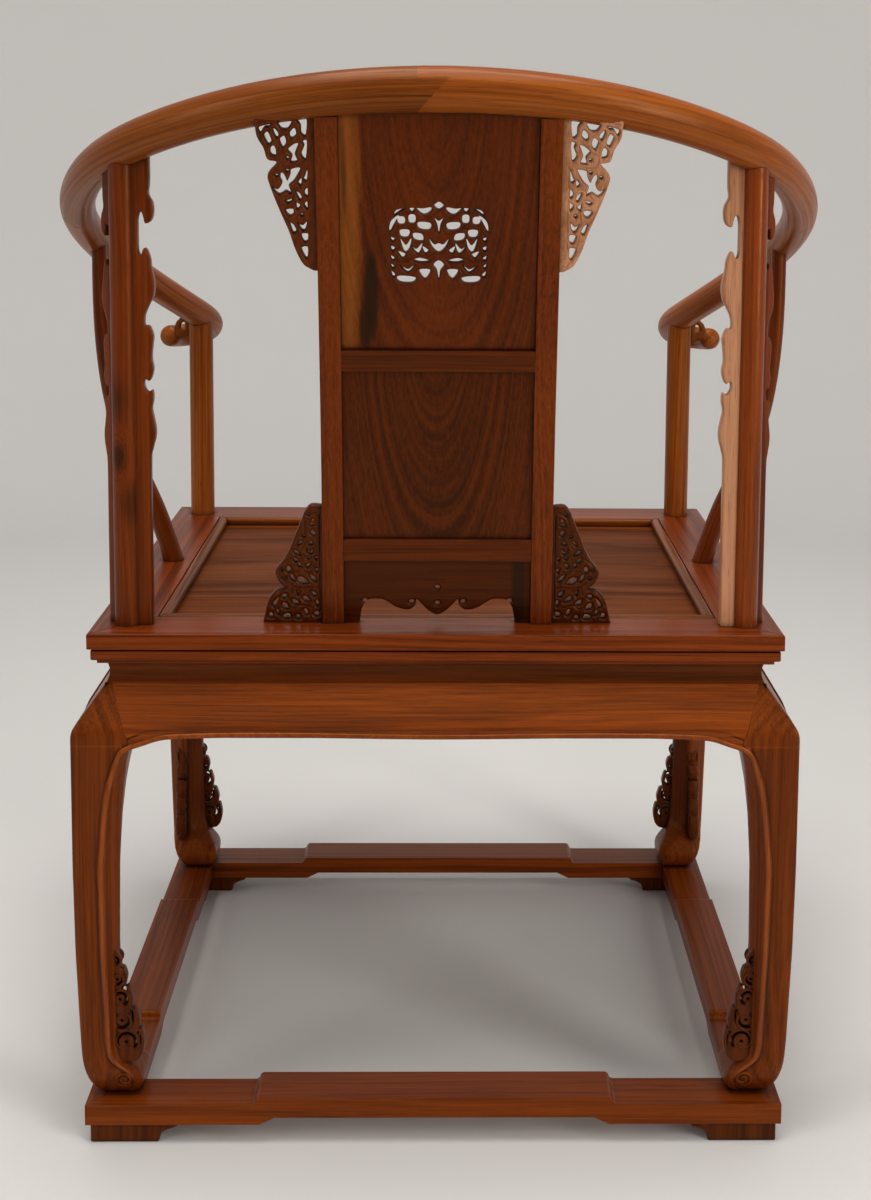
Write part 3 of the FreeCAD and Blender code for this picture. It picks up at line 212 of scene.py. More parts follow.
def wood_figure_group():
    """Growth rings, streaks and pores of a dense straight-grained wood; the grain runs along Z."""
    group, source, result = new_group("Wood figure", (
        ("Position", "NodeSocketVector", None),
        ("Light", "NodeSocketColor", (0.5, 0.2, 0.1, 1.0)),
        ("Dark", "NodeSocketColor", (0.2, 0.1, 0.05, 1.0)),
        ("Ring Spacing", "NodeSocketFloat", 0.006),
        ("Figure", "NodeSocketFloat", 0.6),
        ("Streaks", "NodeSocketFloat", 0.5),
    ), (("Color", "NodeSocketColor"), ("Pores", "NodeSocketFloat"), ("Tone", "NodeSocketFloat")))
    place = source.outputs["Position"]
    sway = add(group, "ShaderNodeTexNoise", {
        "Vector": stretched(group, place, (7.0, 7.0, 1.6)), "Scale": 1.0, "Detail": 2.0, "Roughness": 0.45})
    offset = add(group, "ShaderNodeVectorMath", {0: sway.outputs["Color"], 1: (0.5, 0.5, 0.5)},
                 operation="SUBTRACT")
    warped = add(group, "ShaderNodeVectorMath", {0: offset.outputs[0], 1: (0.02, 0.02, 0.0), 2: place},
                 operation="MULTIPLY_ADD")
    flat = stretched(group, warped.outputs[0], (1.0, 1.0, 0.0))
    radius = add(group, "ShaderNodeVectorMath", {0: flat}, operation="LENGTH").outputs["Value"]
    turns = maths(group, "DIVIDE", radius, source.outputs["Ring Spacing"])
    rings = add(group, "ShaderNodeTexNoise", {"W": turns, "Scale": 1.0, "Detail": 3.0, "Roughness": 0.6},
                noise_dimensions="1D").outputs["Fac"]
    ring_mask = ranged(group, rings, 0.32, 0.68)
    streaks = noise(group, stretched(group, warped.outputs[0], (460.0, 460.0, 7.0)), 3.0, 0.65)
    streak_mask = ranged(group, streaks, 0.34, 0.66)
    fibres = noise(group, stretched(group, place, (1100.0, 1100.0, 34.0)), 3.0, 0.65)
    pores = ranged(group, fibres, 0.57, 0.70)
    broad = ranged(group, noise(group, stretched(group, place, (14.0, 14.0, 2.6)), 2.0), 0.3, 0.7)
    parts = [maths(group, "MULTIPLY", maths(group, "SUBTRACT", mask, 0.5), weight) for mask, weight in (
        (ring_mask, source.outputs["Figure"]), (streak_mask, source.outputs["Streaks"]), (broad, 0.5))]
    fine = maths(group, "ADD", parts[0], parts[1])
    tone = maths(group, "ADD", fine, maths(group, "ADD", parts[2], 0.6), clamp=True)
    body = mixed(group, tone, source.outputs["Dark"], source.outputs["Light"])
    pore_shade = maths(group, "MULTIPLY", pores, 0.55)
    inked = mixed(group, pore_shade, body, opaque(STAIN))
    group.links.new(inked, result.inputs["Color"])
    group.links.new(pores, result.inputs["Pores"])
    group.links.new(tone, result.inputs["Tone"])
    return group


def edges_and_crevices_group():
    """Masks for open edges, lightened as wear and as a painted highlight, and for corners, darkened as
    painted shade and as wax and dust.
    """
    group, source, result = new_group("Handling", (
        ("Crevice Size", "NodeSocketFloat", 0.006),
        ("Position", "NodeSocketVector", None),
    ), (("Crevice", "NodeSocketFloat"), ("Rubbed", "NodeSocketFloat")))
    # The crevice mask darkens corners and hollows: painted shade, also standing for wax and dust
    shade = add(group, "ShaderNodeAmbientOcclusion", {"Distance": source.outputs["Crevice Size"]}, samples=6)
    crevice = ranged(group, shade.outputs["AO"], 0.95, 0.35)
    # The rubbed mask lightens open edges in patches: partly wear, partly a painted highlight
    soft = add(group, "ShaderNodeBevel", {"Radius": 0.0016}, samples=3)
    sharp = add(group, "ShaderNodeNewGeometry")
    bend = add(group, "ShaderNodeVectorMath", {0: soft.outputs["Normal"], 1: sharp.outputs["Normal"]},
               operation="DOT_PRODUCT").outputs["Value"]
    lightened = noise(group, stretched(group, source.outputs["Position"], (60.0, 60.0, 60.0)), 3.0)
    patches = ranged(group, lightened, 0.4, 0.65)
    rubbed_and_highlit = maths(group, "MULTIPLY", ranged(group, bend, 0.995, 0.9), patches)
    open_edge = maths(group, "MULTIPLY", rubbed_and_highlit, maths(group, "SUBTRACT", 1.0, crevice), clamp=True)
    group.links.new(crevice, result.inputs["Crevice"])
    group.links.new(open_edge, result.inputs["Rubbed"])
    return group


def patch_group():
    """A soft-edged patch of sapwood, a stain or a knot, and the distance from its middle."""
    group, source, result = new_group("Patch", (
        ("Position", "NodeSocketVector", None),
        ("Middle", "NodeSocketVector", (0.0, 0.0, 0.0)),
        ("Reach", "NodeSocketVector", (0.01, 0.01, 0.02)),
        ("Softness", "NodeSocketFloat", 0.3),
        ("Raggedness", "NodeSocketFloat", 0.3),
    ), (("Mask", "NodeSocketFloat"), ("Distance", "NodeSocketFloat")))
    away = add(group, "ShaderNodeVectorMath", {0: source.outputs["Position"], 1: source.outputs["Middle"]},
               operation="SUBTRACT").outputs[0]
    scaled = add(group, "ShaderNodeVectorMath", {0: away, 1: source.outputs["Reach"]},
                 operation="DIVIDE").outputs[0]
    distance = add(group, "ShaderNodeVectorMath", {0: scaled}, operation="LENGTH").outputs["Value"]
    ragged = noise(group, stretched(group, source.outputs["Position"], (330.0, 330.0, 26.0)), 3.0, 0.6)
    wobble = maths(group, "MULTIPLY", maths(group, "SUBTRACT", ragged, 0.5), source.outputs["Raggedness"])
    edge = maths(group, "ADD", distance, wobble)
    fall = maths(group, "DIVIDE", maths(group, "SUBTRACT", 1.0, edge), source.outputs["Softness"], clamp=True)
    group.links.new(fall, result.inputs["Mask"])
    group.links.new(distance, result.inputs["Distance"])
    return group


def shared_group(name, maker):
    return bpy.data.node_groups.get(name) or maker()


GRAIN_TURNS = {
    "x": (0.0, math.radians(90), 0.0),
    "y": (math.radians(90), 0.0, 0.0),
    "z": (0.0, 0.0, 0.0),
}
KNOT_HEART = (0.02, 0.005, 0.002)
STAIN = (0.012, 0.003, 0.0015)
DARK_STAIN = (0.008, 0.003, 0.002)


def opaque(shade, tint=1.0):
    """A colour, made lighter or darker, as a shader's socket takes it."""
    return tuple(min(part * tint, 1.0) for part in shade) + (1.0,)


def wood(name, finish, grain="z", pith=(0.03, 0.06, 0.0), ring_spacing=0.006, figure=0.6, streaks=0.65,
         tilt=0.0, spread=0.15, attribute=None, tint=1.0, grime=0.75, patches=(), knots=(),
         gloss=0.33, sheen=0.26, coat=0.03):
    """A polished wood material of one finish, with its grain along an axis or along an attribute."""
    found = bpy.data.materials.get(name)
    if found:
        return found
    material = bpy.data.materials.new(name)
    material.use_nodes = True
    tree = material.node_tree
    tree.nodes.clear()
    woods = chair_settings().woods
    light = opaque(getattr(woods, finish + "_light"), tint)
    dark = opaque(getattr(woods, finish + "_dark"), tint)
    if attribute:
        place = add(tree, "ShaderNodeAttribute", attribute_name=attribute).outputs["Vector"]
        grain = "z"
    else:
        place = add(tree, "ShaderNodeTexCoord").outputs["Object"]
    turned = add(tree, "ShaderNodeMapping", {"Vector": place, "Rotation": GRAIN_TURNS[grain]},
                 vector_type="POINT").outputs[0]
    leaning = add(tree, "ShaderNodeMapping", {
        "Vector": turned, "Rotation": (tilt, 0.0, 0.0), "Location": pith}, vector_type="POINT").outputs[0]
    chance = add(tree, "ShaderNodeObjectInfo").outputs["Random"]
    shift = add(tree, "ShaderNodeCombineXYZ", {
        "X": maths(tree, "MULTIPLY", chance, spread), "Y": maths(tree, "MULTIPLY", chance, spread * 0.7),
        "Z": maths(tree, "MULTIPLY", chance, 9.0)}).outputs[0]
    moved = add(tree, "ShaderNodeVectorMath", {0: leaning, 1: shift}, operation="ADD").outputs[0]
    knot_masks = []
    for middle, reach in knots:
        knot = add(tree, "ShaderNodeGroup", {
            "Position": place, "Middle": middle, "Reach": reach, "Softness": 0.9,
        }, node_tree=shared_group("Patch", patch_group)).outputs
        pushed = add(tree, "ShaderNodeCombineXYZ", {
            "X": maths(tree, "MULTIPLY", knot["Mask"], 0.022),
            "Y": maths(tree, "MULTIPLY", knot["Mask"], 0.017)}).outputs[0]
        moved = add(tree, "ShaderNodeVectorMath", {0: moved, 1: pushed}, operation="ADD").outputs[0]
        knot_masks.append(ranged(tree, knot["Distance"], 0.52, 0.2))
    grown = add(tree, "ShaderNodeGroup", {
        "Position": moved, "Light": light, "Dark": dark, "Ring Spacing": ring_spacing, "Figure": figure,
        "Streaks": streaks,
    }, node_tree=shared_group("Wood figure", wood_figure_group)).outputs
    edges_and_crevices = add(tree, "ShaderNodeGroup", {"Position": moved},
                  node_tree=shared_group("Handling", edges_and_crevices_group)).outputs
    body = grown["Color"]
    for middle, reach, shade, amount, softness in patches:
        patch = add(tree, "ShaderNodeGroup", {
            "Position": place, "Middle": middle, "Reach": reach, "Softness": softness,
        }, node_tree=shared_group("Patch", patch_group)).outputs
        toned = mixed(tree, maths(tree, "MULTIPLY", grown["Tone"], 0.6, clamp=True), opaque(shade, 0.55),
                      opaque(shade))
        body = mixed(tree, maths(tree, "MULTIPLY", patch["Mask"], amount), body, toned)
    for mask in knot_masks:
        body = mixed(tree, maths(tree, "MULTIPLY", mask, 0.88), body, opaque(KNOT_HEART))
    # Corners and crevices darken towards the grime colour: painted shade, also standing for wax and dust
    grimed_and_shaded = mixed(tree, maths(tree, "MULTIPLY", edges_and_crevices["Crevice"], grime), body, opaque(woods.grime))
    # Open edges lighten towards a lighter copy of the wood: partly wear, partly a painted highlight
    rubbed_and_highlit = mixed(tree, maths(tree, "MULTIPLY", edges_and_crevices["Rubbed"], 0.3), grimed_and_shaded, opaque(light[:3], 1.35))
    shine = ranged(tree, grown["Tone"], 0.0, 1.0, gloss + 0.07, gloss - 0.03)
    dulled = maths(tree, "ADD", shine, maths(tree, "MULTIPLY", edges_and_crevices["Crevice"], 0.25), clamp=True)
    relief = maths(tree, "SUBTRACT", maths(tree, "MULTIPLY", grown["Tone"], 0.35), grown["Pores"])
    bump = add(tree, "ShaderNodeBump", {"Height": relief, "Distance": 0.00012, "Strength": 0.55})
    shader = add(tree, "ShaderNodeBsdfPrincipled", {
        "Base Color": rubbed_and_highlit, "Roughness": dulled, "Normal": bump.outputs[0], "Specular IOR Level": sheen,
        "Specular Tint": (1.0, 0.5, 0.2, 1.0), "Coat Weight": coat, "Coat Roughness": 0.18})
    out = add(tree, "ShaderNodeOutputMaterial")
    tree.links.new(shader.outputs[0], out.inputs["Surface"])
    return material


def dress(piece, material):
    """Gives a piece one material on all its faces."""
    if not piece.data.materials:
        piece.data.materials.append(material)
    for slot in piece.material_slots:
        slot.material = material


# Pieces


def add_piece(name, vertices, faces, material, replaced=()):
    """A smooth-shaded mesh piece of the chair that rides on its one body."""
    mesh = bpy.data.meshes.new(name)
    mesh.from_pydata([tuple(v) for v in vertices], [], [tuple(f) for f in faces])
    mesh.update()
    mesh.polygons.foreach_set("use_smooth", [True] * len(mesh.polygons))
    piece = bpy.data.objects.new(name, mesh)
    bpy.context.scene.collection.objects.link(piece)
    dress(piece, material)
    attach(piece, "root")
    if replaced:
        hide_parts(*replaced)
    return piece


def spline(points, count):
    """Points on a smooth curve through the given ones, evenly spaced by length, and the directions there."""
    points = np.array(points, float)
    knots = np.concatenate([[0.0], np.cumsum(np.linalg.norm(np.diff(points, axis=0), axis=1))])
    gaps = np.diff(knots)
    size = len(points)
    system = np.eye(size)
    target = np.zeros_like(points)
    for i in range(1, size - 1):
        system[i, i - 1] = gaps[i - 1]
        system[i, i] = 2 * (gaps[i - 1] + gaps[i])
        system[i, i + 1] = gaps[i]
        target[i] = 6 * ((points[i + 1] - points[i]) / gaps[i] - (points[i] - points[i - 1]) / gaps[i - 1])
    bend = np.linalg.solve(system, target)

    def at(t):
        i = np.clip(np.searchsorted(knots, t, side="right") - 1, 0, size - 2)
        h = gaps[i][:, None]
        a = (knots[i + 1] - t)[:, None] / h
        b = (t - knots[i])[:, None] / h
        curve = a * points[i] + b * points[i + 1]
        return curve + ((a ** 3 - a) * bend[i] + (b ** 3 - b) * bend[i + 1]) * h ** 2 / 6

    fine = np.linspace(0.0, knots[-1], 4000)
    places = at(fine)
    run = np.concatenate([[0.0], np.cumsum(np.linalg.norm(np.diff(places, axis=0), axis=1))])
    even = np.interp(np.linspace(0.0, run[-1], count), run, fine)
    line = at(even)
    ways = np.gradient(line, axis=0)
    return line, ways / np.linalg.norm(ways, axis=1)[:, None]


def ring_frames(ways):
    """Level and upward directions across a curve."""
    level = np.cross([0.0, 0.0, 1.0], ways)
    for i in range(len(level)):
        if np.linalg.norm(level[i]) < 0.2:
            level[i] = level[i - 1]
        if i and np.dot(level[i], level[i - 1]) < 0:
            level[i] = -level[i]
        level[i] = level[i] - ways[i] * np.dot(level[i], ways[i])
        level[i] /= np.linalg.norm(level[i])
    return level, np.cross(ways, level)


def carried_frames(ways, start):
    """Directions across a curve that turn no more than the curve does."""
    across = []
    current = np.array(start, float)
    for way in ways:
        current = current - way * np.dot(current, way)
        current /= np.linalg.norm(current)
        across.append(current)
    across = np.array(across)
    return across, np.cross(ways, across)


def skin(rows, count):
    """Faces of a closed solid through rows of points, each with the same count, and over its ends."""
    faces = []
    for start in range(0, (rows - 1) * count, count):
        for j in range(count):
            k = (j + 1) % count
            faces.append((start + j, start + k, start + count + k, start + count + j))
    faces.append(tuple(reversed(range(count))))
    faces.append(tuple((rows - 1) * count + j for j in range(count)))
    return faces


def tube(line, ways, radii, start, sides=48, round_end=False):
    """Vertices and faces of a round length with closed ends, one of them domed if asked."""
    if round_end:
        bulge = np.linspace(0.1, 1.0, 9) * math.pi / 2
        tip = line[-1] + ways[-1] * radii[-1] * 0.75 * np.sin(bulge)[:, None]
        line = np.concatenate([line, tip])
        ways = np.concatenate([ways, np.repeat(ways[-1:], len(tip), axis=0)])
        radii = np.concatenate([radii, np.maximum(radii[-1] * np.cos(bulge), 0.0004)])
    first, second = carried_frames(ways, start)
    turns = np.linspace(0.0, 2 * math.pi, sides, endpoint=False)
    rings = (line[:, None] + radii[:, None, None] * (
        np.cos(turns)[None, :, None] * first[:, None] + np.sin(turns)[None, :, None] * second[:, None]))
    return rings.reshape(-1, 3), skin(len(line), sides)


def loft(rows):
    """Vertices and faces of a closed solid through rows of points."""
    return [point for row in rows for point in row], skin(len(rows), len(rows[0]))


def grain_along(piece, line, ways):
    """Stores for each vertex its place across and along a bent length, for the grain to follow."""
    level, up = ring_frames(ways)
    run = np.concatenate([[0.0], np.cumsum(np.linalg.norm(np.diff(line, axis=0), axis=1))])
    count = len(piece.data.vertices)
    places = np.empty(count * 3)
    piece.data.vertices.foreach_get("co", places)
    places = places.reshape(-1, 3)
    values = np.empty_like(places)
    for start in range(0, count, 4000):
        part = places[start:start + 4000]
        near = np.argmin(((part[:, None] - line[None]) ** 2).sum(axis=2), axis=1)
        away = part - line[near]
        values[start:start + 4000, 0] = (away * level[near]).sum(axis=1)
        values[start:start + 4000, 1] = (away * up[near]).sum(axis=1)
        values[start:start + 4000, 2] = run[near] + (away * ways[near]).sum(axis=1)
    layer = piece.data.attributes.new("grain", "FLOAT_VECTOR", "POINT")
    layer.data.foreach_set("vector", values.reshape(-1))


def cut(piece, tools):
    """Takes closed meshes out of a piece, for good."""
    for tool in tools:
        modifier = piece.modifiers.new("cut", "BOOLEAN")
        modifier.operation = "DIFFERENCE"
        modifier.solver = "EXACT"
        modifier.object = tool
    bpy.context.view_layer.update()
    result = bpy.data.meshes.new_from_object(piece.evaluated_get(bpy.context.evaluated_depsgraph_get()))
    piece.modifiers.clear()
    piece.data = result


def tool_prism(corners, depth_way, depth):
    """A closed prism to cut with, from a flat polygon and a direction."""
    near = [Vector(c) - Vector(depth_way) * depth for c in corners]
    far = [Vector(c) + Vector(depth_way) * depth for c in corners]
    vertices, faces = loft([near, far])
    mesh = bpy.data.meshes.new("tool")
    mesh.from_pydata([tuple(v) for v in vertices], [], faces)
    form = bmesh.new()
    form.from_mesh(mesh)
    bmesh.ops.recalc_face_normals(form, faces=form.faces)
    form.to_mesh(mesh)
    form.free()
    tool = bpy.data.objects.new("tool", mesh)
    bpy.context.scene.collection.objects.link(tool)
    return tool


def soften(piece, width, segments=2, angle=35.0):
    """Rounds a piece's sharp edges and shades its flat faces flat."""
    bevel = piece.modifiers.new("rounded edges", "BEVEL")
    bevel.width = width
    bevel.segments = segments
    bevel.limit_method = "ANGLE"
    bevel.angle_limit = math.radians(angle)
    bevel.use_clamp_overlap = True
    normals = piece.modifiers.new("even shading", "WEIGHTED_NORMAL")
    normals.keep_sharp = False


# Rails


RAIL_POINTS = (
    (0.0, 0.328, 1.009), (0.110, 0.318, 1.003), (0.210, 0.287, 0.985), (0.297, 0.235, 0.956),
    (0.350, 0.155, 0.924), (0.377, 0.060, 0.887), (0.374, -0.038, 0.847), (0.345, -0.137, 0.802),
    (0.297, -0.235, 0.751), (0.291, -0.262, 0.740), (0.296, -0.288, 0.728), (0.315, -0.3018, 0.720),
    (0.333, -0.293, 0.718), (0.341, -0.272, 0.720),
)
REAR_POST_POINT = 3
SIDE_SCARF_POINT = 5
FRONT_POST_POINT = 8

# The stepped scarf joints: half the step's length, its depth under the rail's top, the run of each
# piece past the joint, the reach of the cutting prisms and the offset of the joint at the back
JOINT_SHOULDER = 0.014
JOINT_STEP = 0.011
JOINT_SPARE = 0.034
JOINT_REACH = 0.084
CENTRE_JOINT_OFFSET = 0.005


def rail_run():
    """The whole centreline of the bent rail from the right hook to the left one, with radii."""
    sizes = chair_settings().rails
    left = [(x, y + DEPTH_SHIFT, z) for x, y, z in RAIL_POINTS]
    right = [(-x, y, z) for x, y, z in reversed(left[1:])]
    around = right + left
    total = sum((Vector(a) - Vector(b)).length for a, b in zip(around, around[1:]))
    count = 2 * int(total / sizes.ring_spacing / 2) + 1
    line, ways = spline(around, count)
    middle = count // 2

    def nearest(point):
        return int(np.argmin(((line - np.array(left[point])) ** 2).sum(axis=1)))

    stations = [middle, nearest(REAR_POST_POINT), nearest(FRONT_POST_POINT), count - 1]
    halves = [sizes.back_diameter, sizes.shoulder_diameter, sizes.arm_diameter, sizes.hook_end_diameter]
    mirrored = middle + np.abs(np.arange(count) - middle)
    radii = np.interp(mirrored, stations, halves) / 2
    return line, ways, radii, middle, nearest(SIDE_SCARF_POINT)


def joint_profile(line, ways, radii, place, offset, way):
    """The corners of a scarf joint's step for any reach beyond it, with its level way and its height."""
    along = Vector(ways[place])
    level = Vector((0, 0, 1)).cross(along).normalized()
    up = along.cross(level)
    radius = radii[place]
    tall = 2 * radius
    step = radius - JOINT_STEP
    seam = ((-JOINT_SHOULDER, tall), (-JOINT_SHOULDER, step), (JOINT_SHOULDER, step),
            (-JOINT_SHOULDER, -radius), (-JOINT_SHOULDER, -tall))

    def corners(far):
        flat = seam + ((far, -tall), (far, tall))
        return [Vector(line[place]) + up * high + along * (offset + way * run) for run, high in flat]

    return corners, level, tall


def make_rails():
    """Two back pieces and two arms with stepped scarf joints, as smooth round lengths."""
    sizes = chair_settings().rails
    line, ways, radii, middle, scarf = rail_run()
    spare = int(JOINT_SPARE / sizes.ring_spacing)
    mirror = Matrix.Diagonal((-1, 1, 1))
    centre, level, tall = joint_profile(line, ways, radii, middle, CENTRE_JOINT_OFFSET, -1)
    side, side_level, side_tall = joint_profile(line, ways, radii, scarf, 0.0, 1)
    cutters = {
        "centre_beyond": tool_prism(centre(JOINT_REACH), level, tall),
        "centre_behind": tool_prism(centre(-JOINT_REACH), level, tall),
        "side_beyond": tool_prism(side(JOINT_REACH), side_level, side_tall),
        "side_behind": tool_prism(side(-JOINT_REACH), side_level, side_tall),
        "right_beyond": tool_prism([mirror @ c for c in side(JOINT_REACH)], mirror @ side_level, side_tall),
    }
    figure = {"pith": (0.05, 0.09, 0.0), "ring_spacing": 0.0035, "figure": 0.55, "attribute": "grain",
              "gloss": 0.32, "sheen": 0.26, "coat": 0.04}
    brown = wood("brown crest wood", "crest", tint=0.8, **figure)
    golden = wood("golden crest wood", "crest", tint=1.12, **figure)
    count = len(line)
    other = count - 1 - scarf
    for node, start, end, tools, polished in (
        ("crest_rail_left", middle - spare, scarf + spare, ("centre_beyond", "side_beyond"), brown),
        ("crest_rail_right", other - spare, middle + spare, ("centre_behind", "right_beyond"), golden),
        ("arm_left", scarf - spare, count, ("side_behind",), golden),
        ("arm_right", scarf - spare, count, ("side_behind",), golden),
    ):
        vertices, faces = tube(line[start:end], ways[start:end], radii[start:end],
                               np.cross([0, 0, 1], ways[start]), round_end=node.startswith("arm"))
        piece = add_piece("smooth_" + node, vertices, faces, polished, (node,))
        cut(piece, [cutters[tool] for tool in tools])
        if node == "arm_right":
            mirror_piece(piece)
        grain_along(piece, line, ways)
        soften(piece, sizes.joint_softening, 1, 40.0)
    for tool in cutters.values():
        bpy.data.objects.remove(tool)


def mirror_piece(piece):
    """Turns a left piece into a right one."""
    form = bmesh.new()
    form.from_mesh(piece.data)
    bmesh.ops.transform(form, matrix=Matrix.Diagonal((-1, 1, 1, 1)), verts=form.verts)
    bmesh.ops.reverse_faces(form, faces=form.faces)
    form.to_mesh(piece.data)
    form.free()


# The bend of a side post from the seat up: (height, lean outwards)
SIDE_POST_SHARES = ((0.0, 0.0), (0.165, 0.21), (0.43, 0.71), (0.66, 0.93), (1.0, 1.0))
SIDE_POST_FLARE = 0.074
SIDE_POST_TOP = 0.835


def make_side_posts():
    """The bent posts under the middle of the arms."""
    polished = wood("side post wood", "frame", pith=(0.03, 0.05, 0.0), ring_spacing=0.004,
                    attribute="grain")
    for side, word in ((1, "left"), (-1, "right")):
        points = [(POST_X + SIDE_POST_FLARE * out, -0.005 + DEPTH_SHIFT,
                   SEAT_HEIGHT + (SIDE_POST_TOP - SEAT_HEIGHT) * up) for up, out in SIDE_POST_SHARES]
        points.append((points[-1][0], points[-1][1], SIDE_POST_TOP + 0.018))
        points[0] = (points[0][0] - 0.0035, points[0][1], points[0][2] - 0.003)
        line, ways = spline(points, 90)
        radii = np.linspace(0.011, 0.008, 90)
        vertices, faces = tube(line, ways, radii, (1.0, 0.0, 0.0), 40)
        piece = add_piece("bent_post_" + word, vertices, faces, polished,
                          ("side_post_" + word,))
        if side < 0:
            mirror_piece(piece)
            line = line * (-1, 1, 1)
            ways = ways * (-1, 1, 1)
        grain_along(piece, line, ways)
        soften(piece, 0.0005, 1, 40.0)


# Carved boards


def turned_curve(points, closed=True, steps=6):
    """A smooth line through given points."""
    points = np.array(points, float)
    count = len(points)
    line = []
    for i in range(count if closed else count - 1):
        around = [(i + k) % count if closed else min(max(i + k, 0), count - 1) for k in (-1, 0, 1, 2)]
        before, start, end, after = points[around]
        for t in np.arange(steps) / steps:
            straight = 2 * start + (end - before) * t
            bend = (2 * before - 5 * start + 4 * end - after) * t ** 2
            line.append(0.5 * (straight + bend + (3 * start - before - 3 * end + after) * t ** 3))
    if not closed:
        line.append(points[-1])
    return np.array(line)


def distance_to_line(places, line, closed):
    """How far each place on a board lies from a line."""
    nearest = np.full(len(places), 1e9)
    ends = np.roll(line, -1, axis=0) if closed else line[1:]
    for start, end in zip(line, ends):
        along = end - start
        size = max(float(along @ along), 1e-18)
        share = np.clip(((places - start) @ along) / size, 0.0, 1.0)
        gap = places - start - share[:, None] * along
        np.minimum(nearest, (gap ** 2).sum(axis=1), out=nearest)
    return np.sqrt(nearest)


def inside_line(places, line):
    """Which places on a board lie inside a closed line."""
    inside = np.zeros(len(places), bool)
    across, up = places[:, 0], places[:, 1]
    for (ax, ay), (bx, by) in zip(line, np.roll(line, -1, axis=0)):
        if ay == by:
            continue
        crosses = (ay > up) != (by > up)
        inside ^= crosses & (across < (bx - ax) * (up - ay) / (by - ay) + ax)
    return inside


def cell_corners(grid):
    """The four corners of every cell of a grid, one array for each corner in turn."""
    return grid[:-1, :-1], grid[1:, :-1], grid[1:, 1:], grid[:-1, 1:]


def sheet_cells(outline, holes, columns, rows, margin):
    """The flat cells of a pierced sheet, its points and the pairs of points along its edges."""
    grid = np.stack(np.meshgrid(columns, rows, indexing="ij"), axis=-1)
    places = grid.reshape(-1, 2)
    depth = distance_to_line(places, outline, True) * np.where(inside_line(places, outline), 1, -1)
    for hole in holes:
        side = np.where(inside_line(places, hole), -1, 1)
        depth = np.minimum(depth, distance_to_line(places, hole, True) * side + margin)
    depth = depth.reshape(grid.shape[:2])
    kept = depth > 0
    number = np.full(kept.shape, -1)
    number[kept] = np.arange(kept.sum())
    points = list(grid[kept])
    whole = np.logical_and.reduce(cell_corners(kept))
    some = np.logical_or.reduce(cell_corners(kept)) & ~whole
    cells = np.stack(cell_corners(number), axis=-1)[whole].tolist()
    crossings = {}
    edges = []
    for i, j in np.argwhere(some):
        corners = ((i, j), (i + 1, j), (i + 1, j + 1), (i, j + 1))
        cell = []
        leaving = []
        for here, after in zip(corners, corners[1:] + corners[:1]):
            if kept[here]:
                cell.append(number[here])
            if kept[here] == kept[after]:
                continue
            key = (min(here, after), max(here, after))
            if key not in crossings:
                share = float(np.clip(depth[here] / (depth[here] - depth[after]), 0.03, 0.97))
                crossings[key] = len(points)
                points.append(grid[here] + (grid[after] - grid[here]) * share)
            cell.append(crossings[key])
            if kept[here]:
                leaving.append(len(cell) - 1)
        if len(cell) > 2:
            cells.append(cell)
            for out in leaving:
                edges.append((cell[out], cell[(out + 1) % len(cell)]))
    return np.array(points), cells, edges


def carve(outline, holes, free_edge, thickness, grooves=(), cell=0.0005, columns=None, rows=None, margin=0.0):
    """The flat points, relief, cells and edges of a pierced board with rounded free edges and holes."""
    sizes = chair_settings().carving
    low = outline.min(axis=0)
    high = outline.max(axis=0)
    if columns is None:
        columns = np.arange(low[0] - cell * 1.5, high[0] + cell * 2, cell)
    if rows is None:
        rows = np.arange(low[1] - cell * 1.5, high[1] + cell * 2, cell)
    flat, cells, edges = sheet_cells(outline, holes, columns, rows, margin)
    away = distance_to_line(flat, free_edge, False) if len(free_edge) else np.full(len(flat), 1.0)
    for hole in holes:
        away = np.minimum(away, distance_to_line(flat, hole, True))
    share = 1 - np.minimum(away / sizes.round_over, 1.0)
    height = thickness / 2 - sizes.round_depth * (1 - np.sqrt(np.maximum(1 - share ** 2, 0.0)))
    for groove in grooves:
        gap = distance_to_line(flat, groove, False)
        height -= sizes.vein_depth * np.exp(-(gap / sizes.vein_width) ** 2) * np.minimum(away / 0.001, 1.0)
    return flat, height, cells, edges


def raised_curl(size, thickness, across, up, radius, width, start, end):
    """A thin raised rim that curls round an opening, on both faces of a board."""
    share = np.linspace(0.0, 1.0, 30)
    turns = np.radians(start - 30 + (end - start + 130) * share)
    reach = size[0] * (radius + width / 2 + 0.03) * (1.0 - 0.62 * share ** 2.5)
    run = across * size[0] + reach * np.cos(turns)
    rise = up * size[1] + reach * np.sin(turns)
    rims = []
    for face in (1, -1):
        line = np.stack([run, rise, np.full(30, face * (thickness / 2 - 0.0006))], axis=-1)
        path, ways = spline(line, 60)
        radii = np.full(60, 0.0014)
        radii[:8] *= np.linspace(0.3, 1.0, 8)
        rims.append(tube(path, ways, radii, (0.1, 0.1, 0.99), 10))
    return rims


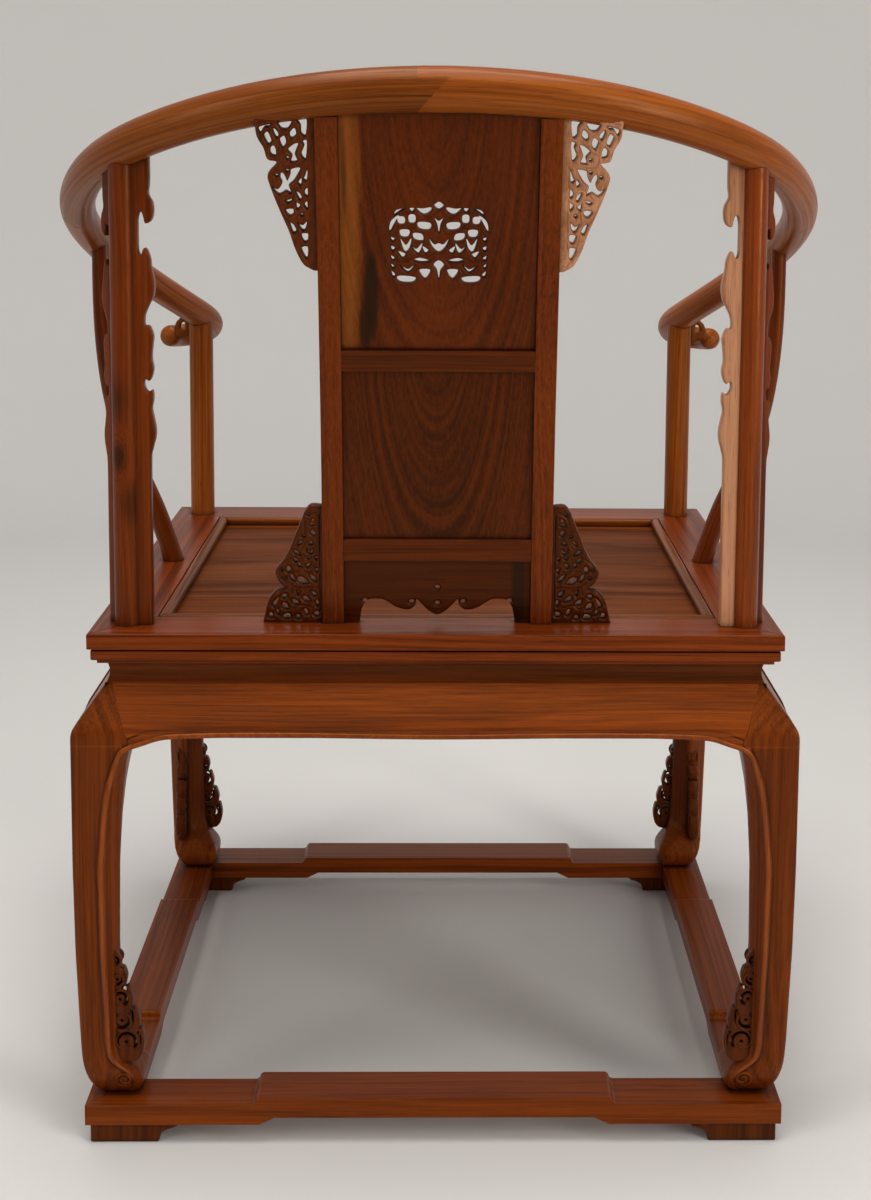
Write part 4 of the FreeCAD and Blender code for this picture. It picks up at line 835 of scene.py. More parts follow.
def place_board(name, board, origin, across, up, material, replaced=(), rims=()):
    """Stands a carved board in the chair."""
    flat, height, cells, edges = board
    across = np.array(across, float)
    up = np.array(up, float)
    normal = np.cross(across, up)
    middle = np.array(origin) + flat[:, :1] * across + flat[:, 1:] * up
    count = len(flat)
    vertices = np.concatenate([middle + height[:, None] * normal, middle - height[:, None] * normal])
    faces = cells + [[point + count for point in reversed(face)] for face in cells]
    faces += [(end, start, start + count, end + count) for start, end in edges]
    turned = np.linalg.det(np.stack([across, up, normal])) < 0
    for ring, rim in rims:
        placed = np.array(origin) + ring[:, :1] * across + ring[:, 1:2] * up + ring[:, 2:] * normal
        rim = [tuple(reversed(face)) for face in rim] if turned else rim
        faces += [[point + len(vertices) for point in face] for face in rim]
        vertices = np.concatenate([vertices, placed])
    return add_piece(name, vertices, faces, material, replaced)


def shaped(shares, size, closed=True, steps=6):
    """A smooth line from shares of a board's width and height."""
    return turned_curve([(across * size[0], up * size[1]) for across, up in shares], closed, steps)


def joined(*lines):
    return np.concatenate([np.array(line, float).reshape(-1, 2) for line in lines])


def curl(size, across, up, radius, width, start, end):
    """A curled slot between two turns, narrower at its tail."""
    turns = np.radians(np.linspace(start, end, 22))
    middle = np.array((across * size[0], up * size[1]))
    ways = np.stack([np.cos(turns), np.sin(turns)], axis=-1)
    bow = np.sin(np.linspace(0.12, 1.0, 22) * math.pi * 0.88)[:, None]
    outer = middle + ways * size[0] * (radius + width / 2 * bow)
    inner = middle + ways * size[0] * (radius - width / 2 * bow)
    return np.concatenate([outer, inner[::-1]])


def dots(places, size, radius):
    """Small round holes."""
    turns = np.linspace(0.0, 2 * math.pi, 12, endpoint=False)
    ring = np.stack([np.cos(turns), np.sin(turns)], axis=-1) * radius
    return [ring + (across * size[0], up * size[1]) for across, up in places]


# The upper bracket's free edge from its foot up: (reach, height)
UPPER_EDGE = (
    (0.09, 0.0), (0.25, 0.04), (0.38, 0.14), (0.47, 0.25), (0.63, 0.4), (0.77, 0.55), (0.79, 0.62),
    (0.64, 0.69), (0.79, 0.71), (0.85, 0.78), (0.95, 0.85), (0.98, 0.93), (0.99, 1.04),
)
UPPER_HOLES = (
    ((0.13, 0.97), (0.3, 0.96), (0.24, 0.92), (0.23, 0.87), (0.15, 0.86)),
    ((0.33, 0.91), (0.41, 0.88), (0.42, 0.85), (0.37, 0.84), (0.3, 0.87)),
    ((0.38, 0.955), (0.61, 0.945), (0.57, 0.905), (0.5, 0.895), (0.43, 0.905)),
    ((0.5, 0.86), (0.58, 0.84), (0.58, 0.81), (0.53, 0.78), (0.47, 0.82)),
    ((0.64, 0.9), (0.69, 0.905), (0.68, 0.87), (0.63, 0.84), (0.59, 0.87)),
    ((0.77, 0.885), (0.84, 0.86), (0.82, 0.83), (0.77, 0.8), (0.71, 0.83)),
    ((0.71, 0.935), (0.92, 0.91), (0.9, 0.87), (0.83, 0.905), (0.75, 0.91)),
    ((0.68, 0.8), (0.74, 0.78), (0.74, 0.74), (0.65, 0.73), (0.64, 0.77)),
    ((0.13, 0.83), (0.22, 0.82), (0.19, 0.79), (0.24, 0.74), (0.16, 0.71)),
    ((0.27, 0.81), (0.34, 0.81), (0.46, 0.77), (0.39, 0.73), (0.41, 0.69), (0.29, 0.7), (0.33, 0.75)),
    ((0.25, 0.66), (0.41, 0.65), (0.43, 0.61), (0.48, 0.57), (0.48, 0.545), (0.4, 0.56), (0.32, 0.6)),
    ((0.5, 0.605), (0.57, 0.63), (0.6, 0.59), (0.57, 0.555), (0.64, 0.525), (0.73, 0.545), (0.69, 0.505),
     (0.61, 0.485), (0.51, 0.505), (0.41, 0.495)),
    ((0.13, 0.66), (0.18, 0.61), (0.22, 0.585), (0.15, 0.575)),
    ((0.23, 0.595), (0.28, 0.58), (0.3, 0.555), (0.25, 0.545)),
    ((0.14, 0.535), (0.19, 0.515), (0.2, 0.485), (0.14, 0.475)),
    ((0.26, 0.495), (0.34, 0.515), (0.33, 0.485), (0.28, 0.45), (0.24, 0.465)),
    ((0.4, 0.465), (0.44, 0.46), (0.53, 0.45), (0.48, 0.43), (0.41, 0.445)),
    ((0.15, 0.45), (0.21, 0.42), (0.15, 0.39)),
    ((0.26, 0.42), (0.34, 0.44), (0.33, 0.39)),
    ((0.39, 0.4), (0.53, 0.39), (0.47, 0.35), (0.39, 0.36)),
    ((0.16, 0.32), (0.24, 0.295), (0.32, 0.31), (0.28, 0.265), (0.21, 0.255)),
    ((0.39, 0.3), (0.46, 0.31), (0.41, 0.24), (0.34, 0.255)),
    ((0.15, 0.24), (0.27, 0.235), (0.24, 0.185), (0.17, 0.185)),
    ((0.16, 0.155), (0.28, 0.145), (0.22, 0.08), (0.17, 0.08)),
)
UPPER_DOTS = ((0.46, 0.72), (0.47, 0.64), (0.65, 0.61), (0.25, 0.36))
UPPER_VEINS = (
    ((0.12, 0.03), (0.3, 0.19), (0.33, 0.35), (0.23, 0.44), (0.24, 0.52), (0.36, 0.53), (0.52, 0.47)),
    ((0.42, 0.27), (0.56, 0.37), (0.66, 0.46), (0.72, 0.49)),
    ((0.2, 0.7), (0.3, 0.68), (0.46, 0.67), (0.56, 0.68), (0.6, 0.74), (0.5, 0.76)),
    ((0.1, 0.99), (0.35, 0.985), (0.65, 0.97), (0.93, 0.94)),
    ((0.44, 0.86), (0.55, 0.88), (0.6, 0.82), (0.6, 0.77)),
    ((0.88, 0.93), (0.9, 0.84), (0.82, 0.77), (0.72, 0.71)),
    ((0.28, 0.84), (0.38, 0.81), (0.5, 0.8)),
    ((0.1, 0.68), (0.11, 0.5), (0.11, 0.3), (0.12, 0.12)),
)

# The lower bracket's free edge from its top down: (reach, height)
LOWER_EDGE = (
    (0.0, 0.97), (0.18, 0.975), (0.28, 0.93), (0.35, 0.85), (0.46, 0.72), (0.56, 0.6), (0.67, 0.51),
    (0.77, 0.45), (0.78, 0.4), (0.71, 0.33), (0.61, 0.285), (0.75, 0.275), (0.87, 0.22),
    (0.93, 0.15), (0.97, 0.07), (1.0, 0.0),
)
LOWER_HOLES = (
    ((0.12, 0.81), (0.15, 0.87), (0.22, 0.81)),
    ((0.11, 0.74), (0.16, 0.78), (0.21, 0.75), (0.16, 0.72)),
    ((0.15, 0.65), (0.19, 0.69), (0.24, 0.65)),
    ((0.32, 0.69), (0.38, 0.68), (0.42, 0.64), (0.36, 0.65)),
    ((0.15, 0.62), (0.21, 0.6), (0.26, 0.62), (0.25, 0.58), (0.18, 0.57)),
    ((0.35, 0.56), (0.41, 0.6), (0.49, 0.61), (0.46, 0.57)),
    ((0.08, 0.55), (0.14, 0.55), (0.11, 0.51)),
    ((0.19, 0.55), (0.27, 0.55), (0.24, 0.52)),
    ((0.41, 0.53), (0.49, 0.545), (0.48, 0.51), (0.43, 0.5)),
    ((0.2, 0.505), (0.29, 0.48), (0.25, 0.45)),
    ((0.34, 0.46), (0.38, 0.51), (0.42, 0.47)),
    ((0.07, 0.45), (0.14, 0.46), (0.11, 0.41)),
    ((0.52, 0.45), (0.57, 0.48), (0.62, 0.44), (0.57, 0.41)),
    ((0.64, 0.45), (0.7, 0.45), (0.68, 0.42)),
    ((0.09, 0.34), (0.14, 0.39), (0.24, 0.41), (0.18, 0.35)),
    ((0.24, 0.33), (0.29, 0.37), (0.37, 0.39), (0.44, 0.37), (0.39, 0.33), (0.31, 0.32)),
    ((0.46, 0.34), (0.49, 0.4), (0.55, 0.41), (0.54, 0.36)),
    ((0.1, 0.22), (0.13, 0.26), (0.21, 0.27), (0.18, 0.22)),
    ((0.2, 0.175), (0.28, 0.225), (0.35, 0.22), (0.32, 0.18)),
    ((0.38, 0.26), (0.44, 0.275), (0.42, 0.22)),
    ((0.58, 0.23), (0.65, 0.245), (0.7, 0.22), (0.65, 0.195)),
    ((0.72, 0.215), (0.78, 0.2), (0.85, 0.15), (0.8, 0.125)),
    ((0.07, 0.17), (0.1, 0.2), (0.14, 0.17), (0.1, 0.13)),
    ((0.4, 0.15), (0.43, 0.19), (0.52, 0.2), (0.5, 0.15)),
    ((0.57, 0.11), (0.6, 0.16), (0.68, 0.17), (0.68, 0.12)),
    ((0.24, 0.07), (0.28, 0.12), (0.34, 0.11), (0.3, 0.06)),
    ((0.06, 0.06), (0.09, 0.1), (0.17, 0.08), (0.14, 0.05)),
    ((0.38, 0.03), (0.4, 0.07), (0.47, 0.06), (0.46, 0.03)),
    ((0.54, 0.035), (0.57, 0.08), (0.68, 0.06), (0.66, 0.03)),
    ((0.72, 0.06), (0.75, 0.115), (0.8, 0.1), (0.78, 0.07)),
    ((0.83, 0.04), (0.85, 0.09), (0.91, 0.08), (0.91, 0.04)),
)
LOWER_DOTS = ((0.63, 0.37), (0.31, 0.72), (0.22, 0.9))
LOWER_VEINS = (
    ((0.1, 0.92), (0.24, 0.87), (0.3, 0.78), (0.27, 0.7), (0.34, 0.62)),
    ((0.44, 0.56), (0.56, 0.53), (0.68, 0.48), (0.72, 0.4), (0.66, 0.35), (0.58, 0.34), (0.5, 0.3),
     (0.52, 0.24)),
    ((0.06, 0.3), (0.22, 0.3), (0.36, 0.29), (0.46, 0.3)),
    ((0.4, 0.43), (0.47, 0.43), (0.52, 0.39)),
    ((0.3, 0.56), (0.33, 0.5), (0.3, 0.43), (0.18, 0.43)),
    ((0.2, 0.13), (0.36, 0.15), (0.46, 0.12), (0.54, 0.14), (0.56, 0.2), (0.68, 0.27), (0.8, 0.24),
     (0.9, 0.15)),
    ((0.04, 0.9), (0.04, 0.5), (0.04, 0.1)),
)

# The medallion from its centre outwards: (half width, half height)
MEDALLION_MIDDLE = (
    ((0.0, 1.15), (0.09, 1.05), (0.0, 0.95), (-0.09, 1.05)),
    ((0.09, 0.74), (0.0, 0.67), (-0.09, 0.74), (-0.03, 0.56), (0.0, 0.36), (0.03, 0.56)),
    ((0.19, 0.21), (0.09, 0.07), (0.0, 0.1), (-0.09, 0.07), (-0.19, 0.21), (-0.12, -0.01), (0.0, -0.14),
     (0.12, -0.01)),
    ((0.1, -0.46), (0.0, -0.34), (-0.1, -0.46), (-0.03, -0.62), (0.0, -0.83), (0.03, -0.62)),
)
MEDALLION_SIDE = (
    ((0.15, 1.01), (0.3, 0.98), (0.43, 0.98), (0.29, 0.82), (0.16, 0.9)),
    ((0.46, 0.98), (0.56, 0.98), (0.51, 0.88)),
    ((0.45, 0.61), (0.56, 0.61), (0.56, 0.81), (0.45, 0.81)),
    ((0.65, 0.98), (0.74, 0.9), (0.84, 0.81), (0.8, 0.93)),
    ((0.65, 0.58), (0.76, 0.58), (0.78, 0.76), (0.65, 0.76)),
    ((0.93, 0.38), (0.9, 0.65), (0.75, 0.81), (0.84, 0.58)),
    ((0.18, 0.43), (0.37, 0.46), (0.39, 0.63), (0.16, 0.61)),
    ((0.56, 0.43), (0.58, 0.25), (0.71, 0.25), (0.73, 0.43)),
    ((0.3, 0.15), (0.46, 0.18), (0.48, 0.35), (0.32, 0.33)),
    ((0.73, 0.22), (0.62, 0.05), (0.52, 0.22), (0.56, -0.05), (0.65, -0.13)),
    ((0.56, 0.1), (0.43, -0.05), (0.31, 0.1), (0.39, -0.18)),
    ((0.31, 0.02), (0.19, -0.09), (0.26, -0.17)),
    ((0.9, 0.25), (0.82, 0.2), (0.88, 0.14)),
    ((0.9, 0.02), (0.82, -0.03), (0.88, -0.11)),
    ((0.91, -0.22), (0.83, -0.29), (0.88, -0.35)),
    ((0.91, -0.43), (0.84, -0.5), (0.88, -0.55)),
    ((0.9, -0.62), (0.82, -0.72), (0.87, -0.78)),
    ((0.77, -0.11), (0.63, -0.18), (0.69, -0.29)),
    ((0.48, -0.34), (0.35, -0.28), (0.16, -0.36), (0.33, -0.4)),
    ((0.73, -0.47), (0.58, -0.57), (0.45, -0.44), (0.58, -0.66)),
    ((0.37, -0.59), (0.16, -0.59), (0.26, -0.83)),
    ((0.77, -0.75), (0.45, -0.78), (0.5, -0.93), (0.75, -0.91)),
)
MEDALLION_VEINS = (
    ((0.05, 0.88), (0.22, 0.75), (0.42, 0.9), (0.6, 0.88), (0.7, 0.82), (0.86, 0.3)),
    ((0.06, 0.5), (0.12, 0.36), (0.28, 0.4), (0.44, 0.5), (0.6, 0.5)),
    ((0.04, -0.12), (0.16, -0.2), (0.32, -0.22), (0.48, -0.26), (0.64, -0.36), (0.78, -0.34)),
    ((0.1, -0.25), (0.24, -0.5), (0.4, -0.53), (0.5, -0.72), (0.7, -0.72)),
    ((0.78, 0.5), (0.8, 0.3), (0.76, 0.05), (0.8, -0.2), (0.8, -0.45)),
)

# The splat apron's lower edge from a foot to the middle: (run, rise)
APRON_EDGE = (
    (1.0, 0.0), (0.97, 0.31), (0.93, 0.44), (0.86, 0.535), (0.72, 0.535), (0.62, 0.45),
    (0.54, 0.36), (0.44, 0.3), (0.35, 0.3), (0.28, 0.4), (0.265, 0.53), (0.19, 0.4), (0.1, 0.26),
    (0.0, 0.18),
)
APRON_DOTS = ((0.0, 0.8), (0.0, 0.44), (0.33, 0.47), (-0.33, 0.47), (0.93, 0.5), (-0.93, 0.5))

# The long spandrel's free edge from the seat up: (width, height)
SPANDREL_EDGE = (
    (0.76, 0.0), (0.76, 0.2), (0.76, 0.36), (0.84, 0.39), (0.97, 0.415), (0.99, 0.435), (0.9, 0.46),
    (0.83, 0.48), (0.9, 0.5), (0.86, 0.52), (0.66, 0.516), (0.5, 0.53), (0.55, 0.545),
    (0.76, 0.541), (0.92, 0.565), (0.85, 0.59), (0.9, 0.62), (0.93, 0.64), (0.76, 0.66),
    (0.56, 0.662), (0.58, 0.685), (0.78, 0.707), (0.97, 0.727), (1.02, 0.75), (0.96, 0.77),
    (0.87, 0.79), (0.84, 0.806), (0.72, 0.823), (0.6, 0.829), (0.52, 0.824), (0.46, 0.816),
    (0.38, 0.814), (0.31, 0.823), (0.3, 0.842), (0.3, 0.873), (0.31, 0.892), (0.37, 0.904),
    (0.48, 0.906), (0.56, 0.896), (0.6, 0.886), (0.68, 0.881), (0.9, 0.888), (1.0, 0.905),
    (0.97, 0.926), (0.79, 0.945), (0.82, 0.963), (0.84, 0.98), (0.84, 1.0), (0.84, 1.04),
)

# The leaf on a leg's inner edge from its top down: (reach, height)
LEAF_EDGE = (
    (0.0, 1.0), (0.12, 0.96), (0.3, 0.87), (0.39, 0.81), (0.37, 0.755), (0.47, 0.735), (0.54, 0.67),
    (0.5, 0.6), (0.6, 0.585), (0.69, 0.5), (0.66, 0.43), (0.77, 0.415), (0.87, 0.33), (0.84, 0.26),
    (0.92, 0.25), (0.985, 0.16), (0.93, 0.06), (0.8, 0.01), (0.69, 0.0),
)
# The curled openings of the leaf: (reach, height, radius, width of the slot, first and last turn)
LEAF_CURLS = (
    (0.2, 0.815, 0.12, 0.07, -60, 200), (0.27, 0.665, 0.17, 0.09, 120, 400),
    (0.34, 0.505, 0.2, 0.1, -60, 210), (0.38, 0.335, 0.24, 0.11, 130, 400),
    (0.5, 0.16, 0.27, 0.11, -40, 220),
)
LEAF_HOLES = (
    ((0.07, 0.74), (0.14, 0.72), (0.1, 0.66), (0.06, 0.68)),
    ((0.4, 0.6), (0.5, 0.6), (0.52, 0.56), (0.46, 0.55)),
    ((0.08, 0.45), (0.14, 0.44), (0.12, 0.38), (0.07, 0.4)),
    ((0.64, 0.42), (0.7, 0.38), (0.68, 0.32), (0.62, 0.36)),
    ((0.1, 0.24), (0.18, 0.22), (0.2, 0.16), (0.1, 0.16)),
    ((0.82, 0.24), (0.88, 0.2), (0.86, 0.14), (0.81, 0.18)),
    ((0.12, 0.07), (0.26, 0.07), (0.22, 0.03), (0.14, 0.03)),
)
LEAF_VEINS = (
    ((0.04, 0.95), (0.28, 0.84), (0.46, 0.7), (0.62, 0.52), (0.78, 0.36), (0.9, 0.22), (0.88, 0.08)),
    ((0.05, 0.9), (0.05, 0.6), (0.04, 0.3), (0.06, 0.02)),
)
LEAF_EYES = ((0.2, 0.81), (0.27, 0.66), (0.34, 0.5), (0.38, 0.33), (0.5, 0.155))

# The scroll under the arm's end, from the arm down to the hook: (reach, height)
SCROLL_EDGE = (
    (0.0, 0.42), (0.2, 0.48), (0.34, 0.6), (0.46, 0.72), (0.6, 0.76), (0.76, 0.75), (0.86, 0.69), (0.8, 0.63),
    (0.67, 0.58), (0.71, 0.5), (0.8, 0.42), (0.86, 0.26), (0.86, 0.05),
)
SCROLL_HOLES = (
    ((0.44, 0.6), (0.52, 0.57), (0.5, 0.47), (0.4, 0.4), (0.32, 0.45), (0.38, 0.54)),
    ((0.6, 0.69), (0.7, 0.7), (0.69, 0.65), (0.61, 0.64)),
    ((0.56, 0.4), (0.66, 0.36), (0.68, 0.25), (0.56, 0.22)),
)

# Three places on the splat's arc, from the seat up: (depth, height)
SPLAT_ARC = ((0.226, 0.501), (0.262, 0.7631), (0.322, 1.009))
# The splat's boards and the brackets beside it; each size is a width and a height.
SPLAT_HALF_WIDTH = 0.110
PANEL_HALF_WIDTH = 0.0935
PANEL_FOOT = 0.773
PANEL_TOP = 1.009
MEDALLION_SIZE = (0.048, 0.037)
MEDALLION_RISE = 0.096
BRACKET_THICKNESS = 0.010
UPPER_BRACKET_SIZE = (0.054, 0.146)
LOWER_BRACKET_SIZE = (0.058, 0.122)
CREST_UNDERSIDE = 0.9885
BRACKET_HOLE_RADIUS = 0.0019
APRON_HOLE_RADIUS = 0.0026
# The cells of the upper panel, inside its medallion and beside it
FINE_STEP = 0.0005
BROAD_STEP = 0.006


def splat_place(height):
    """The Y of the splat's arc at a height."""
    (ay, az), (by, bz), (cy, cz) = SPLAT_ARC
    double = 2 * (ay * (bz - cz) + by * (cz - az) + cy * (az - bz))
    a, b, c = ay ** 2 + az ** 2, by ** 2 + bz ** 2, cy ** 2 + cz ** 2
    middle = (a * (bz - cz) + b * (cz - az) + c * (az - bz)) / double
    level = (a * (cy - by) + b * (ay - cy) + c * (by - ay)) / double
    return middle - math.sqrt((ay - middle) ** 2 + (az - level) ** 2 - (height - level) ** 2) + DEPTH_SHIFT


def leaning_board(low, high, foot=None):
    """The origin of a board set on the splat between two heights, and the way up it."""
    start = splat_place(low)
    angle = math.atan2(splat_place(high) - start, high - low)
    foot = low if foot is None else foot(angle)
    return (0.0, splat_place(foot), foot), (0.0, math.sin(angle), math.cos(angle)), angle


def bracket_pair(name, edge, stile_line, holes, round_holes, veins, size, standing, materials):
    """A pierced bracket on each side of the splat."""
    origin, up, _ = standing
    free = shaped(edge, size, False, 8)
    outline = joined(free, [(across * size[0], rise * size[1]) for across, rise in stile_line])
    openings = [shaped(hole, size) for hole in holes] + dots(round_holes, size, BRACKET_HOLE_RADIUS)
    grooves = [shaped(vein, size, False, 5) for vein in veins]
    margin = chair_settings().carving.hole_margin
    board = carve(outline, openings, free, BRACKET_THICKNESS, grooves, margin=margin)
    for side, word, material in ((1, "left", materials[0]), (-1, "right", materials[1])):
        node = name + "_" + word
        place = (side * SPLAT_HALF_WIDTH, origin[1], origin[2])
        place_board("carved_" + node, board, place, (side, 0.0, 0.0), up, material, (node,))


def make_brackets():
    """Upper and lower brackets beside the splat."""
    figure = {"pith": (0.08, 0.05, 0.0), "ring_spacing": 0.005}
    upper = wood("upper bracket wood", "carved", grime=0.9, **figure)
    # The right upper bracket gets the pale finish: a painted highlight
    pale = wood("pale bracket wood", "pale", grime=0.5, tint=1.05, **figure)
    lower = wood("lower bracket wood", "carved", pith=(0.05, 0.07, 0.0), ring_spacing=0.005, grime=0.9,
                 tint=0.62)
    drop = UPPER_BRACKET_SIZE[1]
    standing = leaning_board(CREST_UNDERSIDE - drop, CREST_UNDERSIDE,
                             lambda angle: CREST_UNDERSIDE - drop * math.cos(angle))
    bracket_pair("upper_bracket", UPPER_EDGE, ((0.0, 1.04), (0.0, 0.0)), UPPER_HOLES, UPPER_DOTS,
                 UPPER_VEINS, UPPER_BRACKET_SIZE, standing, (upper, pale))
    standing = leaning_board(SEAT_HEIGHT, SEAT_HEIGHT + LOWER_BRACKET_SIZE[1])
    bracket_pair("lower_bracket", LOWER_EDGE, ((0.0, 0.0),), LOWER_HOLES, LOWER_DOTS, LOWER_VEINS,
                 LOWER_BRACKET_SIZE, standing, (lower, lower))


def grid_lines(stretches):
    """Grid lines with a different spacing over each stretch."""
    lines = [stretches[0][0]]
    for start, end, step in stretches:
        count = max(1, round((end - start) / step))
        lines.extend(start + (end - start) * (np.arange(count) + 1) / count)
    return np.array(lines)


def mirrored(lines):
    """The same lines on the other side of the middle."""
    return [[(-across, rise) for across, rise in line] for line in lines]


def make_splat():
    """The pierced upper panel and the cusped panel above the seat."""
    thickness = chair_settings().carving.panel
    sapwood = tuple(chair_settings().woods.sapwood)
    side = PANEL_HALF_WIDTH
    origin, up, angle = leaning_board(PANEL_FOOT, PANEL_TOP)
    slope = math.cos(angle)
    high = (PANEL_TOP - PANEL_FOOT) / slope
    centre = MEDALLION_RISE / slope
    outline = np.array([(-side, -0.003), (side, -0.003), (side, high), (-side, high)])
    holes = list(MEDALLION_MIDDLE) + list(MEDALLION_SIDE) + mirrored(MEDALLION_SIDE)
    openings = [shaped(hole, MEDALLION_SIZE) + (0.0, centre) for hole in holes]
    veins = list(MEDALLION_VEINS) + mirrored(MEDALLION_VEINS)
    grooves = [shaped(vein, MEDALLION_SIZE, False, 5) + (0.0, centre) for vein in veins]
    columns = grid_lines(((-side - 0.001, -0.050, BROAD_STEP), (-0.050, 0.050, FINE_STEP),
                          (0.050, side + 0.001, BROAD_STEP)))
    rows = grid_lines(((-0.004, centre - 0.040, BROAD_STEP), (centre - 0.040, centre + 0.046, FINE_STEP),
                       (centre + 0.046, high + 0.001, BROAD_STEP)))
    panel = wood("splat panel wood", "splat", pith=(0.0, 0.2135, 0.0), ring_spacing=0.0052, figure=0.55,
                 streaks=0.5, tilt=0.5, spread=0.0, gloss=0.38, patches=(
                     ((0.086, 0.28, 0.90), (0.018, 0.4, 0.20), sapwood, 0.66, 0.4),
                     ((0.0615, 0.28, 0.825), (0.008, 0.4, 0.052), DARK_STAIN, 0.92, 0.4),
                     ((0.067, 0.28, 0.795), (0.007, 0.4, 0.028), DARK_STAIN, 0.85, 0.4),
                     ((0.085, 0.28, 0.93), (0.003, 0.4, 0.05), DARK_STAIN, 0.5, 0.7)))
    board = carve(outline, openings, (), thickness, grooves, columns=columns, rows=rows)
    place_board("pierced_splat_panel", board, origin, (1.0, 0.0, 0.0), up, panel,
                ("splat_upper_panel",))
    origin, up, _ = leaning_board(SEAT_HEIGHT, 0.565)
    run = (0.075, 0.045)
    half = [(across * run[0], rise * run[1]) for across, rise in APRON_EDGE]
    free = turned_curve(half + [(-across, rise) for across, rise in reversed(half[:-1])], False)
    outline = joined(free, [(-side, 0.0), (-side, 0.067), (side, 0.067), (side, 0.0)])
    board = carve(outline, dots(APRON_DOTS, run, APRON_HOLE_RADIUS), free, thickness, cell=0.0007)
    dark = wood("splat apron wood", "splat", grain="x", pith=(0.02, 0.05, 0.0), tint=0.5,
                patches=(((-0.078, 0.22, 0.54), (0.008, 0.4, 0.09), DARK_STAIN, 0.85, 0.4),))
    place_board("cusped_splat_apron", board, origin, (1.0, 0.0, 0.0), up, dark,
                ("splat_apron",))


# The spandrels start where the rear post's surface lies, at this distance from its axis.
POST_RADIUS = 0.0085
SPANDREL_HEIGHT = 0.4365


def make_spandrels():
    """The lobed boards beside the rear posts."""
    figure = {"pith": (0.04, 0.03, 0.0), "ring_spacing": 0.005, "grime": 0.8}
    polished = wood("spandrel wood", "frame", streaks=0.6, **figure)
    # The pale spandrel wood is a painted highlight, for the right rear spandrel
    pale = wood("pale spandrel wood", "pale", figure=0.4, **figure)
    for name, width, tall, turn in (
        ("rear_spandrel_", 0.021, SPANDREL_HEIGHT, 180.0),
        ("side_spandrel_", 0.018, SPANDREL_HEIGHT - 0.014, -42.0),
    ):
        free = shaped(SPANDREL_EDGE, (width, tall), False) + (POST_RADIUS, 0.0)
        outline = joined(free, [(POST_RADIUS, free[-1][1]), (POST_RADIUS, 0.0)])
        board = carve(outline, (), free, 0.012, cell=0.0008)
        for side, word in ((1, "left"), (-1, "right")):
            across = (side * math.cos(math.radians(turn)), math.sin(math.radians(turn)), 0.0)
            origin = (side * POST_X, POST_Y + DEPTH_SHIFT, SEAT_HEIGHT)
            material = pale if name + word == "rear_spandrel_right" else polished
            place_board("lobed_" + name + word, board, origin, across, (0.0, 0.0, 1.0),
                        material, (name + word,))


def make_arm_scrolls():
    """The small carved scrolls between the arms and their hooks."""
    polished = wood("arm scroll wood", "crest", pith=(0.04, 0.03, 0.0), ring_spacing=0.005, tint=0.6)
    size = (0.042, 0.048)
    free = shaped(SCROLL_EDGE, size, False)
    outline = joined(free, [(0.0, free[-1][1])])
    openings = [shaped(hole, size) for hole in SCROLL_HOLES]
    board = carve(outline, openings, free, 0.009)
    for side, word in ((1, "left"), (-1, "right")):
        origin = (side * POST_X, -POST_Y - 0.022 + DEPTH_SHIFT, 0.720)
        place_board("carved_arm_scroll_" + word, board, origin, (side, 0.0, 0.0), (0.0, 0.0, 1.0),
                    polished, ("arm_scroll_" + word,))


# Legs


# The leg from the base up: (height, bulge, face width, depth, inner corner width)
LEG_ROWS = (
    (0.0, 0.24, 0.97, 0.76, 0.85), (0.017, 0.42, 1.38, 1.05, 0.88), (0.034, 0.59, 1.6, 1.2, 0.9),
    (0.055, 0.7, 1.66, 1.26, 0.9), (0.078, 0.78, 1.42, 1.14, 0.76), (0.103, 0.83, 1.06, 0.98, 0.63),
    (0.14, 0.86, 1.0, 0.94, 0.6), (0.178, 0.88, 1.0, 0.94, 0.6), (0.377, 0.966, 1.0, 0.95, 0.6),
    (0.575, 1.0, 1.0, 1.0, 0.6), (0.694, 1.0, 1.14, 1.07, 0.62), (0.77, 1.0, 1.28, 1.15, 0.67),
    (0.826, 1.0, 1.52, 1.24, 0.74), (0.872, 1.0, 1.86, 1.366, 0.96),
)
LEG_FOOT = 0.040
LEG_TOP = 0.449
HEAD_FOOT = 0.397
LEG_FACE = 0.029
LEG_DEPTH = 0.041
BULGE = 0.029
WAIST_INSET = 0.015
# The length of the mitre between leg and apron at its top; at the foot of the head it is twice this.
MITRE = 0.021
# How the head of a leg swells below its top: the drops and the bulge at each of them
HEAD_DROPS = (0.0, 0.0335, 0.0385, 0.0440, 0.052)
HEAD_BULGES = (0.0, 0.0249, 0.0279, 0.029, 0.029)
# How far each corner of the leg's section is rounded, from the outer corner on
LEG_RADII = (0.0032, 0.0012, 0.004, 0.004, 0.004, 0.004, 0.0012)
# The room a bead takes up to the middle of the fine groove beside it, as a share of its width
BEAD_ROOM = 1.25
GROOVE_HALF = 0.001
# The bead's bend from leg to apron: (distance from the side's end, height)
BEAD_TURN = ((0.052, 0.3992), (0.068, 0.4046), (0.086, 0.4066))
APRON_LOW = 0.405
APRON_DIP = 0.008
APRON_LEVELS = (0.443, 0.436, 0.428, 0.420, 0.4155, 0.4135, 0.4115, 0.4095, 0.4075)
HOOF_SCROLL_HEIGHT = 0.0605
HOOF_SCROLL_RADIUS = 0.0092
LEAF_SIZE = (0.035, 0.126)
LEAF_THICKNESS = 0.012
# The corners of the chair: (name, towards the back or front, towards the left or right)
CORNERS = (("rear_left", 1, 1), ("rear_right", 1, -1), ("front_left", -1, 1), ("front_right", -1, -1))
